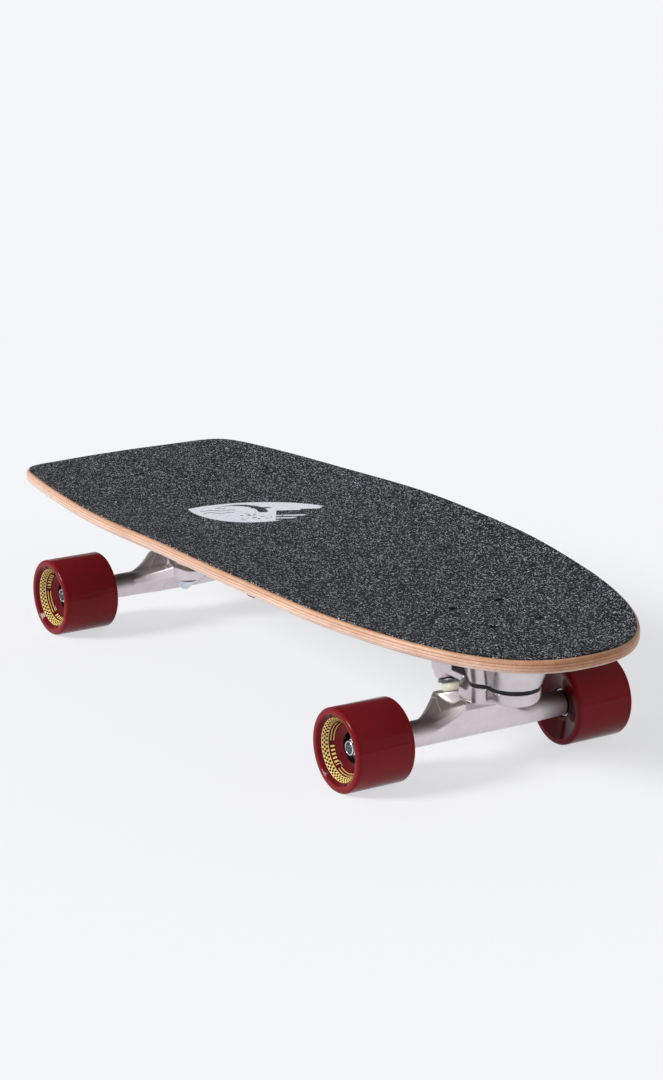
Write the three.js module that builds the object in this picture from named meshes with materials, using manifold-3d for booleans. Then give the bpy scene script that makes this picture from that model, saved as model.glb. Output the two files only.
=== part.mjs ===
// Surf skateboard: a seven-ply concave deck with a swivelling front truck and a plain rear truck.
// Units are millimetres, +Z is up, +X points to the nose and the ground is at Z = 0 under mid-length.
import * as THREE from 'three';
import { mergeVertices } from 'three/addons/utils/BufferGeometryUtils.js';
import Module from 'manifold-3d';

const wasm = await Module();
wasm.setup();

// Fits shared by many pieces
const seatGap = 0.3;
const gripGap = 0.2;

// Deck and grip tape
const deckLength = 730;
const deckHalfLength = deckLength / 2;
const deckHalfWidth = 134.5;
const deckThickness = 10.5;
const widestX = -40;
const noseAlongPower = 2.6;
const noseAcrossPower = 2.38;
const tailTaperShare = 0.267;
const tailTaperPower = 2.12;
const tailCornerPower = 34;
const tailCornerRoot = 2.2;
const outlineFineSteps = 1500;
const outlinePointSpacing = 46;
const outlineTurnSpacing = 0.22;
const spineInset = 75;
const topEdgeRound = 2.6;
const bottomEdgeRound = 4;
const roundMiddleShare = 0.29;
const sheetShares = [0.77, 0.5, 0];
const concaveFlatHalf = 42;
const concaveRise = 8;
const concaveFullAt = 134;
const gripThickness = 1;
const gripInset = 2.5;

// The grip's top along the middle: flat over each truck, highest between them
const tailTopZ = 123.4;
const rearTopZ = 124.2;
const middleTopZ = 128.8;
const frontTopZ = 126.9;
const noseTopZ = 127.2;
const rearFlatHalf = 52;
const frontFlatHalf = 52.5;
const middleFlatTailX = -10;
const middleFlatNoseX = 90;

// Deck bolts
const boltSpacingAlong = 54;
const boltSpacingAcross = 41.3;
const boltRadius = 2.5;
const boltHeadRadius = 4.6;
const boltHeadHeight = 2.6;
const boltSides = 8;
const boltNutAcross = 8.8;
const boltNutHeight = 5;
const boltNutRoom = 6;
const boltTipLength = 1.6;
const gripHoleRadius = 5;

// Trucks, in their own frame: +X to the pivot, the axle at X = 0
const noseOverhang = 148;
const tailOverhang = 113;
const frontAxleX = deckHalfLength - noseOverhang;
const rearAxleX = tailOverhang - deckHalfLength;
const axleHeight = 33;
const steerTilt = THREE.MathUtils.degToRad(18);
const ringCentreX = -22;
const ringCentreZ = 50.5;
const hangerHalfWidth = 81;
const hangerEndChamfer = 1.5;
const tubeRadius = 10.4;
const tubeEndRadius = 9.6;
const webFullHalf = 15;
const webEndHalf = 51;
const webSteps = 10;
const webInset = 0.15;
const webRadiusAtTube = 8;
const ringWebX = -25;
const ringWebZ = 46;
const ringWebRadius = 6;
const ringWebPower = 1.4;
const ridgeX = 8.6;
const ridgeZ = 56.3;
const ridgeRadius = 1.4;
const pivotWebX = 11.4;
const pivotWebZ = 50.4;
const pivotWebRadius = 5.5;
const pivotWebPower = 2;
const sectionSides = 16;
const ringRadius = 18.3;
const ringTop = 2.6;
const ringBottom = -13;
const ringRound = 1.4;
const ringFloorTop = 1.4;
const ringFloorBottom = -3.4;
const ringSeatRadius = 13.1;
const skirtBoreRadius = 14.9;
const skirtBoreEnd = -17;
const ringBoreRadius = 8;
const skirtCutX = -24;
const skirtCutZ = 38;
const nutPocketRadius = 9;
const nutPocketHalf = 20;
const nutPocketEnd = -34;
const roundSides = 20;
const arcSteps = 3;
const stemRadius = 5;
const stemStart = 18;
const stemShoulder = 51.5;
const stemTip = 56;
const stemRoundShare = 0.7;
const pivotCupRadius = 7.6;
const pivotCupStart = 46.5;
const pivotCupEnd = 58.6;
const pivotReliefStart = 22;
const pivotBossRadius = 11;
const pivotBossStart = 44.4;
const pivotBossEnd = 60.5;

// Kingpin stack, measured from the ring centre along the kingpin
const kingpinRadius = 5;
const kingpinBelow = 23.4;
const kingpinHeadBase = 36;
const kingpinHeadHeight = 6.2;
const kingpinHeadAcross = 16;
const kingpinNutAcross = 13.5;
const kingpinNutBase = -21.2;
const kingpinNutHeight = 7;
const washerThickness = 1.7;
const cupWasherRadius = 14.4;
const cupWasherLip = 2.4;
const topBushing = { start: 1.7, end: 10.6, waist: 12.2, middle: 12.8 };
const bottomBushing = { start: -3.7, end: -12, waist: 10.2, middle: 11.2 };
const lowerWasherRadius = 11;
const blockRadius = 16.4;
const blockStart = 12.9;
const blockEnd = 50;
const blockRound = 1.6;
const headPocketRadius = 9.8;

// Front swivel
const swivelX = 52;
const lobeRadius = 20;
const earX = 33;
const earY = 16;
const earRadius = 10;
const heelX = 0;
const heelRadius = 9.8;
const shoulderX = 17.5;
const shoulderY = 15.5;
const shoulderRadius = 9.5;
const shoulderLean = 5.4;
const shoulderDepth = 5.5;
const leanTailEnd = 10;
const leanNoseStart = 20;
const leanNoseEnd = 32;
const clubMiddleX = 30;
const notchX = 44.5;
const notchRound = 2.5;
const cupBottomZ = 63.4;
const cupTopZ = 74.8;
const cupHeelRound = 2.4;
const cupLobeRound = 6;
const cupRim = 3;
const cupRoundShares = [0, 0.5, 1];
const cupEarDrop = 3;
const dropNoseEnd = 14;
const dropHeelEnd = 12;
const sealThickness = 2;
const sealInset = 0.3;
const sealWidth = 3;
const housingBottomZ = cupTopZ + seatGap + sealThickness + seatGap;
const housingWall = 4;
const earFlare = 3.4;
const lobeFlare = 8;
const lobeFlareStart = 46;
const lobeFlareEnd = 66;
const flareMiddleShare = 0.62;
const housingCeilingZ = 96.6;
const flangeBottomZ = 103;
const padThickness = 3.6;
const flangeNoseX = 81;
const flangeTailX = -9;
const flangeHalfWidth = 29.5;
const flangeCorner = 11;
const frontPatternX = 30;
const armBlockTopZ = 96;
const blockClearance = 0.9;
const bridgeHalfWidth = 10.5;
const bridgeTailX = -27;
const bridgeNoseX = 8;
const bridgeBottomZ = 66;
const neckHalfWidth = 16;
const neckBottomZ = 69;
const shaftRadius = 5;
const shaftHeadAcross = 16;
const shaftHeadHeight = 6.2;
const shaftHeadZ = 104.3;
const shaftPocketRadius = 9.8;
const shaftTipZ = 64.2;
const shaftNutAcross = 15;
const shaftNutZ = 64.4;
const shaftNutHeight = 5.4;
const shaftNutPocketRadius = 9.4;
const swivelBearingRadius = 9.5;
const swivelBearingHeight = 6;
const lowerBearingZ = 73.5;
const upperBearingZ = 89.4;
const sleeveWall = 2.2;
const sleeveTopZ = 95.8;
const springPinRadius = 2.6;
const armPinX = 34;
const armPinTopZ = 91;
const fixedPinX = 3;
const fixedPinBottomZ = 80;
const springZ = 87;
const springCoilRadius = 4.2;
const springWireRadius = 0.9;
const springTurns = 5;
const springStepsPerTurn = 8;
const springWireSides = 5;
const springEyeRadius = 4;
const springEyeSteps = 12;
const springCoilInset = 6;

// Rear baseplate
const riserThickness = 18;
const plateThickness = 7.5;
const plateNoseX = -49;
const plateTailX = 34;
const plateHalfWidth = 28;
const plateCorner = 8;
const rearPatternX = -8;
const pivotPostX = 31;
const pivotPostRadius = 10.5;
const pivotPostBottomZ = 70;
const ribHalfWidth = 5;
const ribBottomZ = 73;

// Axles, bearings and wheels, measured outwards along the axle
const axleRadius = 4;
const axleSides = 12;
const axleChamfer = 0.8;
const wheelRadius = 33;
const wheelWidth = 51;
const hangerInWheel = 5.9;
const wheelInnerFace = hangerHalfWidth - hangerInWheel;
const wheelSides = 32;
const bearingRadius = 11;
const bearingWidth = 7;
const bearingSides = 14;
const hangerBearingGap = 1.4;
const innerBearingStart = hangerHalfWidth + hangerBearingGap;
const spacerLength = 10;
const spacerRadius = 6.2;
const axleNutAcross = 13;
const axleNutHeight = 6.5;
const axleNutWasherRadius = 6.6;
const axleNutWasherHeight = 1;
const axleTip = 0.8;
const outerBearingStart = innerBearingStart + bearingWidth + spacerLength;
const axleNutStart = outerBearingStart + bearingWidth + seatGap;
const axleHalfLength = axleNutStart + axleNutWasherHeight + axleNutHeight + axleTip;
const hexSides = 6;
const coreLipRadius = 9;
const innerRimRound = 2;
const outerRimRound = 4;
const innerDishRadius = 28;
const innerDishFloorRadius = 14;
const innerDishDepth = 5.6;
const outerLipRadius = 28.2;
const bowlShoulderRadius = 24.6;
const bowlShoulderDepth = 3.4;
const bandOuterRadius = 23.2;
const bandOuterDepth = 4.8;
const bandInnerRadius = 19;
const bandInnerDepth = 12;
const hubEdgeDepth = 15;

// Colours and finishes
const finishes = {
  maple: { color: 0xc98d5c, roughness: 0.45, metalness: 0 },
  grip: { color: 0x2c2d33, roughness: 0.95, metalness: 0 },
  cast: { color: 0xb9b4b6, roughness: 0.38, metalness: 0.9 },
  black: { color: 0x17181a, roughness: 0.7, metalness: 0 },
  urethane: { color: 0x6d1220, roughness: 0.3, metalness: 0 },
  ivory: { color: 0xe1dcc3, roughness: 0.5, metalness: 0 },
  darkSteel: { color: 0x4a4a4c, roughness: 0.4, metalness: 0.9 },
  zinc: { color: 0xa9afb6, roughness: 0.3, metalness: 0.9 },
  boltBlack: { color: 0x1d1e20, roughness: 0.4, metalness: 0.8 },
  bearing: { color: 0x8f9194, roughness: 0.35, metalness: 0.8 },
};

const quarterTurn = Math.PI / 2;
const fullTurn = 2 * Math.PI;
const group = new THREE.Group();
const upAxis = new THREE.Vector3(0, 1, 0);
const steerAxis = new THREE.Vector3(Math.cos(steerTilt), 0, Math.sin(steerTilt));
const kingpinAxis = new THREE.Vector3(-Math.sin(steerTilt), 0, Math.cos(steerTilt));
const zAxis = new THREE.Vector3(0, 0, 1);
const ringCentre = new THREE.Vector3(ringCentreX, 0, ringCentreZ);

// Mesh and solid helpers
function addMesh(parent, name, geometry, finish) {
  const material = new THREE.MeshStandardMaterial(finishes[finish]);
  const mesh = new THREE.Mesh(geometry, material);
  mesh.name = name;
  parent.add(mesh);
  return mesh;
}

function bare(geometry) {
  const copy = geometry.clone();
  copy.deleteAttribute('normal');
  copy.deleteAttribute('uv');
  return mergeVertices(copy);
}

function solidOf(geometry) {
  const merged = bare(geometry);
  const triVerts = Uint32Array.from(merged.index.array);
  const vertProperties = Float32Array.from(merged.attributes.position.array);
  return new wasm.Manifold(new wasm.Mesh({ numProp: 3, vertProperties, triVerts }));
}

function geometryOf(solid) {
  const mesh = solid.getMesh();
  const geometry = new THREE.BufferGeometry();
  geometry.setAttribute('position', new THREE.Float32BufferAttribute(mesh.vertProperties, 3));
  geometry.setIndex(new THREE.Uint32BufferAttribute(mesh.triVerts, 1));
  geometry.computeVertexNormals();
  return geometry;
}

function joined(...geometries) {
  return geometries.map(solidOf).reduce((total, next) => total.add(next));
}

function cutBy(solid, ...geometries) {
  return geometries.map(solidOf).reduce((total, next) => total.subtract(next), solid);
}

// Joins rings of points, one after the other, into one closed surface
function skin(rings) {
  const count = rings[0].length;
  const positions = rings.flat().flatMap((point) => [point.x, point.y, point.z]);
  const geometry = new THREE.BufferGeometry();
  geometry.setAttribute('position', new THREE.Float32BufferAttribute(positions, 3));
  const corners = [];
  for (let row = 0; row + 1 < rings.length; row += 1) {
    for (let step = 0; step < count; step += 1) {
      const next = (step + 1) % count;
      const a = row * count + step;
      const b = row * count + next;
      const c = (row + 1) * count + next;
      const d = (row + 1) * count + step;
      corners.push([a, b, c], [a, c, d]);
    }
  }
  geometry.setIndex(corners.flat());
  return facingOut(withoutFlatCorners(mergeVertices(geometry)));
}

function withoutFlatCorners(geometry) {
  const index = geometry.index.array;
  const kept = [];
  for (let start = 0; start < index.length; start += 3) {
    const [a, b, c] = index.slice(start, start + 3);
    if (a !== b && b !== c && c !== a) {
      kept.push(a, b, c);
    }
  }
  geometry.setIndex(kept);
  return geometry;
}

function facingOut(geometry) {
  const index = geometry.index.array;
  const corner = [new THREE.Vector3(), new THREE.Vector3(), new THREE.Vector3()];
  let volume = 0;
  for (let start = 0; start < index.length; start += 3) {
    corner.forEach((point, k) => point.fromBufferAttribute(geometry.attributes.position, index[start + k]));
    volume += corner[0].dot(corner[1].clone().cross(corner[2]));
  }
  if (volume < 0) {
    geometry.setIndex(Array.from(index).reverse());
  }
  return geometry;
}

// A turned shape: the profile lists radius and height, and the height runs along the given axis
function turned(profile, sides, base, axis, turn = 0) {
  const points = profile.map(([radius, height]) => new THREE.Vector2(radius, height));
  const geometry = facingOut(bare(new THREE.LatheGeometry(points, sides, turn)));
  const pose = new THREE.Quaternion().setFromUnitVectors(upAxis, axis);
  geometry.applyQuaternion(pose);
  geometry.translate(base.x, base.y, base.z);
  return geometry;
}

function rod(radius, start, end, base, axis, sides = roundSides) {
  return turned([[0, start], [radius, start], [radius, end], [0, end]], sides, base, axis);
}

function hexBar(across, start, end, base, axis) {
  const radius = across / (2 * Math.cos(Math.PI / hexSides));
  return rod(radius, start, end, base, axis, hexSides);
}

function upright(x, y) {
  return new THREE.Vector3(x, y, 0);
}

function roundedPlate(tailX, noseX, halfWidth, corner, bottomZ, topZ) {
  const shape = new THREE.Shape();
  shape.moveTo(tailX + corner, -halfWidth);
  shape.lineTo(noseX - corner, -halfWidth);
  shape.absarc(noseX - corner, corner - halfWidth, corner, -quarterTurn, 0);
  shape.lineTo(noseX, halfWidth - corner);
  shape.absarc(noseX - corner, halfWidth - corner, corner, 0, quarterTurn);
  shape.lineTo(tailX + corner, halfWidth);
  shape.absarc(tailX + corner, halfWidth - corner, corner, quarterTurn, Math.PI);
  shape.lineTo(tailX, corner - halfWidth);
  shape.absarc(tailX + corner, corner - halfWidth, corner, Math.PI, Math.PI + quarterTurn);
  return slab(shape, bottomZ, topZ);
}

function slab(shape, bottomZ, topZ) {
  const geometry = new THREE.ExtrudeGeometry(shape, {
    depth: topZ - bottomZ,
    bevelEnabled: false,
    curveSegments: arcSteps,
  });
  geometry.translate(0, 0, bottomZ);
  return geometry;
}

function block(tailX, noseX, halfWidth, bottomZ, topZ) {
  const geometry = new THREE.BoxGeometry(noseX - tailX, 2 * halfWidth, topZ - bottomZ);
  geometry.translate((noseX + tailX) / 2, 0, (topZ + bottomZ) / 2);
  return geometry;
}

// Deck outline: half the width at each station along the board
function halfWidthAt(x) {
  if (x > widestX) {
    const share = Math.min((x - widestX) / (deckHalfLength - widestX), 1);
    return deckHalfWidth * (1 - share ** noseAlongPower) ** (1 / noseAcrossPower);
  }
  const share = Math.min((widestX - x) / (deckHalfLength + widestX), 1);
  const taper = 1 - tailTaperShare * share ** tailTaperPower;
  return deckHalfWidth * taper * (1 - share ** tailCornerPower) ** (1 / tailCornerRoot);
}

// Half the outline from tail to nose, closer together where it turns
function halfOutline() {
  const fine = [];
  for (let step = 0; step <= outlineFineSteps; step += 1) {
    const x = -deckHalfLength * Math.cos((Math.PI * step) / outlineFineSteps);
    fine.push(new THREE.Vector2(x, halfWidthAt(x)));
  }
  const reach = [0];
  for (let step = 1; step < fine.length; step += 1) {
    const along = fine[step].clone().sub(fine[step - 1]);
    const before = step > 1 ? fine[step - 1].clone().sub(fine[step - 2]) : new THREE.Vector2(0, 1);
    const turn = Math.abs(Math.atan2(along.cross(before), along.dot(before)));
    reach.push(reach[step - 1] + along.length() / outlinePointSpacing + turn / outlineTurnSpacing);
  }
  const count = Math.round(reach[reach.length - 1]);
  const points = [];
  let place = 0;
  for (let step = 0; step <= count; step += 1) {
    const goal = (reach[reach.length - 1] * step) / count;
    while (place + 2 < reach.length && reach[place + 1] < goal) {
      place += 1;
    }
    const share = Math.min((goal - reach[place]) / (reach[place + 1] - reach[place]), 1);
    points.push(fine[place].clone().lerp(fine[place + 1], share));
  }
  points[0].y = 0;
  points[count].y = 0;
  return points;
}

const outlineHalf = halfOutline();
const outline = outlineHalf.concat(
  outlineHalf.slice(1, -1).reverse().map((point) => new THREE.Vector2(point.x, -point.y)),
);

function outlineInset(inset) {
  return outline.map((point, step) => {
    const before = outline[(step + outline.length - 1) % outline.length];
    const after = outline[(step + 1) % outline.length];
    const along = after.clone().sub(before).normalize();
    return new THREE.Vector2(point.x + along.y * inset, point.y - along.x * inset);
  });
}

const topStations = [
  { x: -deckHalfLength, z: tailTopZ },
  { x: rearAxleX - rearPatternX - rearFlatHalf, z: rearTopZ },
  { x: rearAxleX - rearPatternX + rearFlatHalf, z: rearTopZ },
  { x: middleFlatTailX, z: middleTopZ },
  { x: middleFlatNoseX, z: middleTopZ },
  { x: frontAxleX + frontPatternX - frontFlatHalf, z: frontTopZ },
  { x: frontAxleX + frontPatternX + frontFlatHalf, z: frontTopZ },
  { x: deckHalfLength, z: noseTopZ },
];

function topAt(x, y) {
  const next = topStations.findIndex((station, place) => place > 0 && station.x >= x);
  const to = topStations[next > 0 ? next : topStations.length - 1];
  const from = topStations[topStations.indexOf(to) - 1];
  const centre = THREE.MathUtils.lerp(from.z, to.z, THREE.MathUtils.smoothstep(x, from.x, to.x));
  const side = Math.max(Math.abs(y) - concaveFlatHalf, 0) / (concaveFullAt - concaveFlatHalf);
  return centre + concaveRise * side * side;
}

// Rings of points over the board, from the spine to an outline or back, some way under the grip
function sheetRings(inset, below, shares) {
  const spineEnd = deckHalfLength - spineInset;
  const edge = outlineInset(inset);
  return shares.map((share) => edge.map((point, step) => {
    const spineX = THREE.MathUtils.clamp(outline[step].x, -spineEnd, spineEnd);
    const x = spineX + (point.x - spineX) * share;
    const y = point.y * share;
    return new THREE.Vector3(x, y, topAt(x, y) - below);
  }));
}

const inwardShares = [1].concat(sheetShares);
const outwardShares = inwardShares.slice().reverse();
const deckTopDrop = gripThickness + gripGap;
const deckBottomDrop = deckTopDrop + deckThickness;

function deckSkin() {
  const edgeRing = (inset, below) => sheetRings(inset, below, [1])[0];
  return skin([
    ...sheetRings(topEdgeRound, deckTopDrop, outwardShares),
    edgeRing(topEdgeRound * roundMiddleShare, deckTopDrop + topEdgeRound * roundMiddleShare),
    edgeRing(0, deckTopDrop + topEdgeRound),
    edgeRing(0, deckBottomDrop - bottomEdgeRound),
    edgeRing(bottomEdgeRound * roundMiddleShare, deckBottomDrop - bottomEdgeRound * roundMiddleShare),
    ...sheetRings(bottomEdgeRound, deckBottomDrop, inwardShares),
  ]);
}

function gripSkin() {
  return skin([
    ...sheetRings(gripInset, 0, outwardShares),
    ...sheetRings(gripInset, gripThickness, inwardShares),
  ]);
}

// Levels under the two flat truck seats
const frontDeckTop = frontTopZ - deckTopDrop;
const rearDeckTop = rearTopZ - deckTopDrop;
const frontSeatZ = frontTopZ - deckBottomDrop - seatGap;
const rearSeatZ = rearTopZ - deckBottomDrop - seatGap;
const flangeTopZ = frontSeatZ - padThickness - seatGap;
const plateTopZ = rearSeatZ - riserThickness - seatGap;
const plateBottomZ = plateTopZ - plateThickness;

function boltPlaces(patternX) {
  const along = boltSpacingAlong / 2;
  const across = boltSpacingAcross / 2;
  return [
    ['tail_right', patternX - along, -across],
    ['tail_left', patternX - along, across],
    ['nose_right', patternX + along, -across],
    ['nose_left', patternX + along, across],
  ];
}

const frontBolts = boltPlaces(frontAxleX + frontPatternX);
const rearBolts = boltPlaces(rearAxleX - rearPatternX);

function boltHoles(places, fromZ, toZ, radius) {
  return places.map(([, x, y]) => rod(radius, fromZ, toZ, upright(x, y), zAxis, boltSides));
}

function headHoles(places, topZ) {
  const headRadius = boltHeadRadius + seatGap;
  const profile = [
    [0, -boltHeadHeight - seatGap],
    [boltRadius, -boltHeadHeight - seatGap],
    [headRadius, -seatGap],
    [headRadius, boltHeadHeight],
    [0, boltHeadHeight],
  ];
  return places.map(([, x, y]) => turned(profile, boltSides, new THREE.Vector3(x, y, topZ), zAxis));
}

function boltGeometry(topZ, tipZ, nutTopZ) {
  const topBase = new THREE.Vector3(0, 0, topZ - seatGap);
  const head = turned([
    [0, -boltHeadHeight],
    [boltRadius, -boltHeadHeight],
    [boltHeadRadius, -seatGap],
    [boltHeadRadius, 0],
    [0, 0],
  ], boltSides, topBase, zAxis);
  const shank = rod(boltRadius, tipZ, topZ - seatGap - seatGap, upright(0, 0), zAxis, boltSides);
  if (nutTopZ === undefined) {
    return geometryOf(joined(head, shank));
  }
  const nut = hexBar(boltNutAcross, nutTopZ - boltNutHeight, nutTopZ, upright(0, 0), zAxis);
  return geometryOf(joined(head, shank, nut));
}

// Deck, grip tape, pads and deck bolts
const holeRadius = boltRadius + seatGap;
const deckSolid = cutBy(
  solidOf(deckSkin()),
  ...boltHoles(frontBolts, frontSeatZ - deckThickness, frontDeckTop, holeRadius),
  ...boltHoles(rearBolts, rearSeatZ - deckThickness, rearDeckTop, holeRadius),
  ...headHoles(frontBolts, frontDeckTop),
  ...headHoles(rearBolts, rearDeckTop),
);
addMesh(group, 'deck', geometryOf(deckSolid), 'maple');

const gripSolid = cutBy(
  solidOf(gripSkin()),
  ...boltHoles(frontBolts, frontDeckTop - seatGap, frontTopZ + seatGap, gripHoleRadius),
  ...boltHoles(rearBolts, rearDeckTop - seatGap, rearTopZ + seatGap, gripHoleRadius),
);
addMesh(group, 'grip_tape', geometryOf(gripSolid), 'grip');

const padSolid = cutBy(
  solidOf(roundedPlate(
    frontAxleX + flangeTailX,
    frontAxleX + flangeNoseX,
    flangeHalfWidth,
    flangeCorner,
    frontSeatZ - padThickness,
    frontSeatZ,
  )),
  ...boltHoles(frontBolts, flangeTopZ, frontDeckTop, holeRadius),
);
addMesh(group, 'front_pad', geometryOf(padSolid), 'black');

const riserSolid = cutBy(
  solidOf(roundedPlate(
    rearAxleX - plateTailX,
    rearAxleX - plateNoseX,
    plateHalfWidth,
    plateCorner,
    rearSeatZ - riserThickness,
    rearSeatZ,
  )),
  ...boltHoles(rearBolts, plateTopZ, rearDeckTop, holeRadius),
);
addMesh(group, 'rear_riser', geometryOf(riserSolid), 'black');

const frontTipZ = flangeBottomZ + boltTipLength;
const rearNutTopZ = plateBottomZ - seatGap;
const rearTipZ = rearNutTopZ - boltNutHeight - boltTipLength;
for (const [place, x, y] of frontBolts) {
  const geometry = boltGeometry(frontDeckTop, frontTipZ);
  const bolt = addMesh(group, `front_deck_bolt_${place}`, geometry, 'boltBlack');
  bolt.position.set(x, y, 0);
}
for (const [place, x, y] of rearBolts) {
  const geometry = boltGeometry(rearDeckTop, rearTipZ, rearNutTopZ);
  const bolt = addMesh(group, `rear_deck_bolt_${place}`, geometry, 'boltBlack');
  bolt.position.set(x, y, 0);
}

// Club-shaped plan of the swivel: a round lobe over the swivel shaft, two ears and a narrow heel
const ear = { x: earX, y: earY, radius: earRadius };
const shoulder = { x: shoulderX, y: shoulderY, radius: shoulderRadius };
const heel = { x: heelX, y: 0, radius: heelRadius };
const housingDiscs = [ear, heel];
const armDiscs = [ear, shoulder, heel];
const notchAngle = Math.acos((notchX - earX) / (earRadius + notchRound));

// Where the line that touches two discs leaves the first one
function tangentAngle(disc, next) {
  const apart = Math.hypot(disc.x - next.x, disc.y - next.y);
  const run = Math.atan2(disc.y - next.y, disc.x - next.x);
  return quarterTurn + run + Math.asin((disc.radius - next.radius) / apart);
}

function clubShape(discs, inset) {
  const leaves = discs.slice(0, -1).map((disc, place) => tangentAngle(disc, discs[place + 1]));
  const enters = [notchAngle, ...leaves];
  const lobe = lobeRadius - inset;
  const shape = new THREE.Shape();
  shape.absarc(swivelX, 0, lobe, -quarterTurn, quarterTurn);
  shape.lineTo(notchX, lobe);
  leaves.forEach((leave, place) => {
    const { x, y, radius } = discs[place];
    shape.absarc(x, y, radius - inset, enters[place], leave);
  });
  const last = discs[discs.length - 1];
  const lastAngle = enters[enters.length - 1];
  shape.absarc(last.x, last.y, last.radius - inset, lastAngle, fullTurn - lastAngle);
  leaves.map((leave, place) => place).reverse().forEach((place) => {
    const { x, y, radius } = discs[place];
    shape.absarc(x, -y, radius - inset, -leaves[place], -enters[place]);
  });
  shape.lineTo(notchX, -lobe);
  return shape;
}

function clubSlab(inset, bottomZ, topZ) {
  return slab(clubShape(housingDiscs, inset), bottomZ, topZ);
}

// One ring of points round the club; inset and height are worked out at each point
function clubRing(discs, insetAt, heightAt) {
  const points = clubShape(discs, 0).getPoints(arcSteps).slice(0, -1);
  const inner = clubShape(discs, 1).getPoints(arcSteps).slice(0, -1);
  return points.map((point, step) => {
    const moved = inner[step].clone().sub(point).multiplyScalar(insetAt(point)).add(point);
    return new THREE.Vector3(moved.x, moved.y, heightAt(point));
  });
}

function clubCap(discs, z) {
  return clubRing(discs, () => 0, () => z).map(() => new THREE.Vector3(clubMiddleX, 0, z));
}

// Fixed housing of the front truck
const front = new THREE.Group();
front.position.set(frontAxleX, 0, 0);
group.add(front);
const rear = new THREE.Group();
rear.position.set(rearAxleX, 0, 0);
rear.rotation.z = Math.PI;
group.add(rear);

const swivelBase = upright(swivelX, 0);
const frontLocalBolts = boltPlaces(frontPatternX);
const housingTopZ = flangeBottomZ + seatGap;
const housingMiddleZ = (housingBottomZ + housingTopZ) / 2;
function flareAt(point) {
  const ears = THREE.MathUtils.smoothstep(point.x, heelX, earX);
  const lobe = THREE.MathUtils.smoothstep(point.x, lobeFlareStart, lobeFlareEnd);
  return earFlare * ears + (lobeFlare - earFlare) * lobe;
}

const housingWallSkin = skin([
  clubCap(housingDiscs, housingBottomZ),
  clubRing(housingDiscs, () => 0, () => housingBottomZ),
  clubRing(housingDiscs, (point) => -flareMiddleShare * flareAt(point), () => housingMiddleZ),
  clubRing(housingDiscs, (point) => -flareAt(point), () => housingTopZ),
  clubCap(housingDiscs, housingTopZ),
]);
const fixedPinBase = upright(fixedPinX, 0);
const fixedPin = rod(
  springPinRadius,
  fixedPinBottomZ,
  housingCeilingZ + seatGap,
  fixedPinBase,
  zAxis,
  boltSides,
);
const housingSolid = cutBy(
  joined(
    housingWallSkin,
    roundedPlate(flangeTailX, flangeNoseX, flangeHalfWidth, flangeCorner, flangeBottomZ, flangeTopZ),
  ),
  clubSlab(housingWall, housingBottomZ - housingWall, housingCeilingZ),
  rod(shaftRadius + seatGap, housingCeilingZ - seatGap, flangeTopZ, swivelBase, zAxis),
  rod(shaftPocketRadius, shaftHeadZ - seatGap, flangeTopZ + seatGap, swivelBase, zAxis),
  ...boltHoles(frontLocalBolts, frontTipZ - seatGap, flangeTopZ + seatGap, holeRadius),
).add(solidOf(fixedPin));
addMesh(front, 'front_housing', geometryOf(housingSolid), 'cast');

const sealBottomZ = cupTopZ + seatGap;
const sealSolid = cutBy(
  solidOf(clubSlab(sealInset, sealBottomZ, sealBottomZ + sealThickness)),
  clubSlab(sealInset + sealWidth, sealBottomZ - seatGap, sealBottomZ + sealThickness + seatGap),
);
addMesh(front, 'swivel_seal', geometryOf(sealSolid), 'black');

// Kingpin block and pivot boss, alike on the swivel arm and on the rear baseplate
function blockProfile() {
  return [
    [0, blockStart],
    [blockRadius - blockRound, blockStart],
    [blockRadius, blockStart + blockRound],
    [blockRadius, blockEnd],
    [0, blockEnd],
  ];
}

function kingpinHoles() {
  return [
    rod(kingpinRadius + seatGap, blockStart - seatGap, blockEnd, ringCentre, kingpinAxis),
    rod(headPocketRadius, kingpinHeadBase - seatGap, blockEnd + blockRound, ringCentre, kingpinAxis),
  ];
}

function pivotBoss() {
  return rod(pivotBossRadius, pivotBossStart, pivotBossEnd, ringCentre, steerAxis);
}

function pivotHole() {
  return rod(pivotCupRadius + seatGap, pivotReliefStart, pivotCupEnd + seatGap, ringCentre, steerAxis);
}

// Swivelling arm under the housing: its bottom hangs lower along the shoulders and ears
function cupBottomAt(point) {
  const { smoothstep } = THREE.MathUtils;
  const fromLobe = smoothstep(swivelX - point.x, 0, dropNoseEnd);
  const fromHeel = smoothstep(point.x, 0, dropHeelEnd);
  return cupBottomZ - cupEarDrop * fromLobe * fromHeel;
}

function cupRoundAt(point) {
  const share = THREE.MathUtils.smoothstep(point.x, earX, swivelX);
  return THREE.MathUtils.lerp(cupHeelRound, cupLobeRound, share);
}

const cupRing = (share) => clubRing(
  armDiscs,
  (point) => cupRoundAt(point) * (1 - Math.cos(share * quarterTurn)),
  (point) => cupBottomAt(point) + cupRoundAt(point) * (1 - Math.sin(share * quarterTurn)),
);

// The shoulders lean in towards the top, where the arm meets the housing's plan
function leanAt(point) {
  const { smoothstep } = THREE.MathUtils;
  const fromHeel = smoothstep(point.x, heelX, leanTailEnd);
  return shoulderLean * fromHeel * (1 - smoothstep(point.x, leanNoseStart, leanNoseEnd));
}

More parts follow.
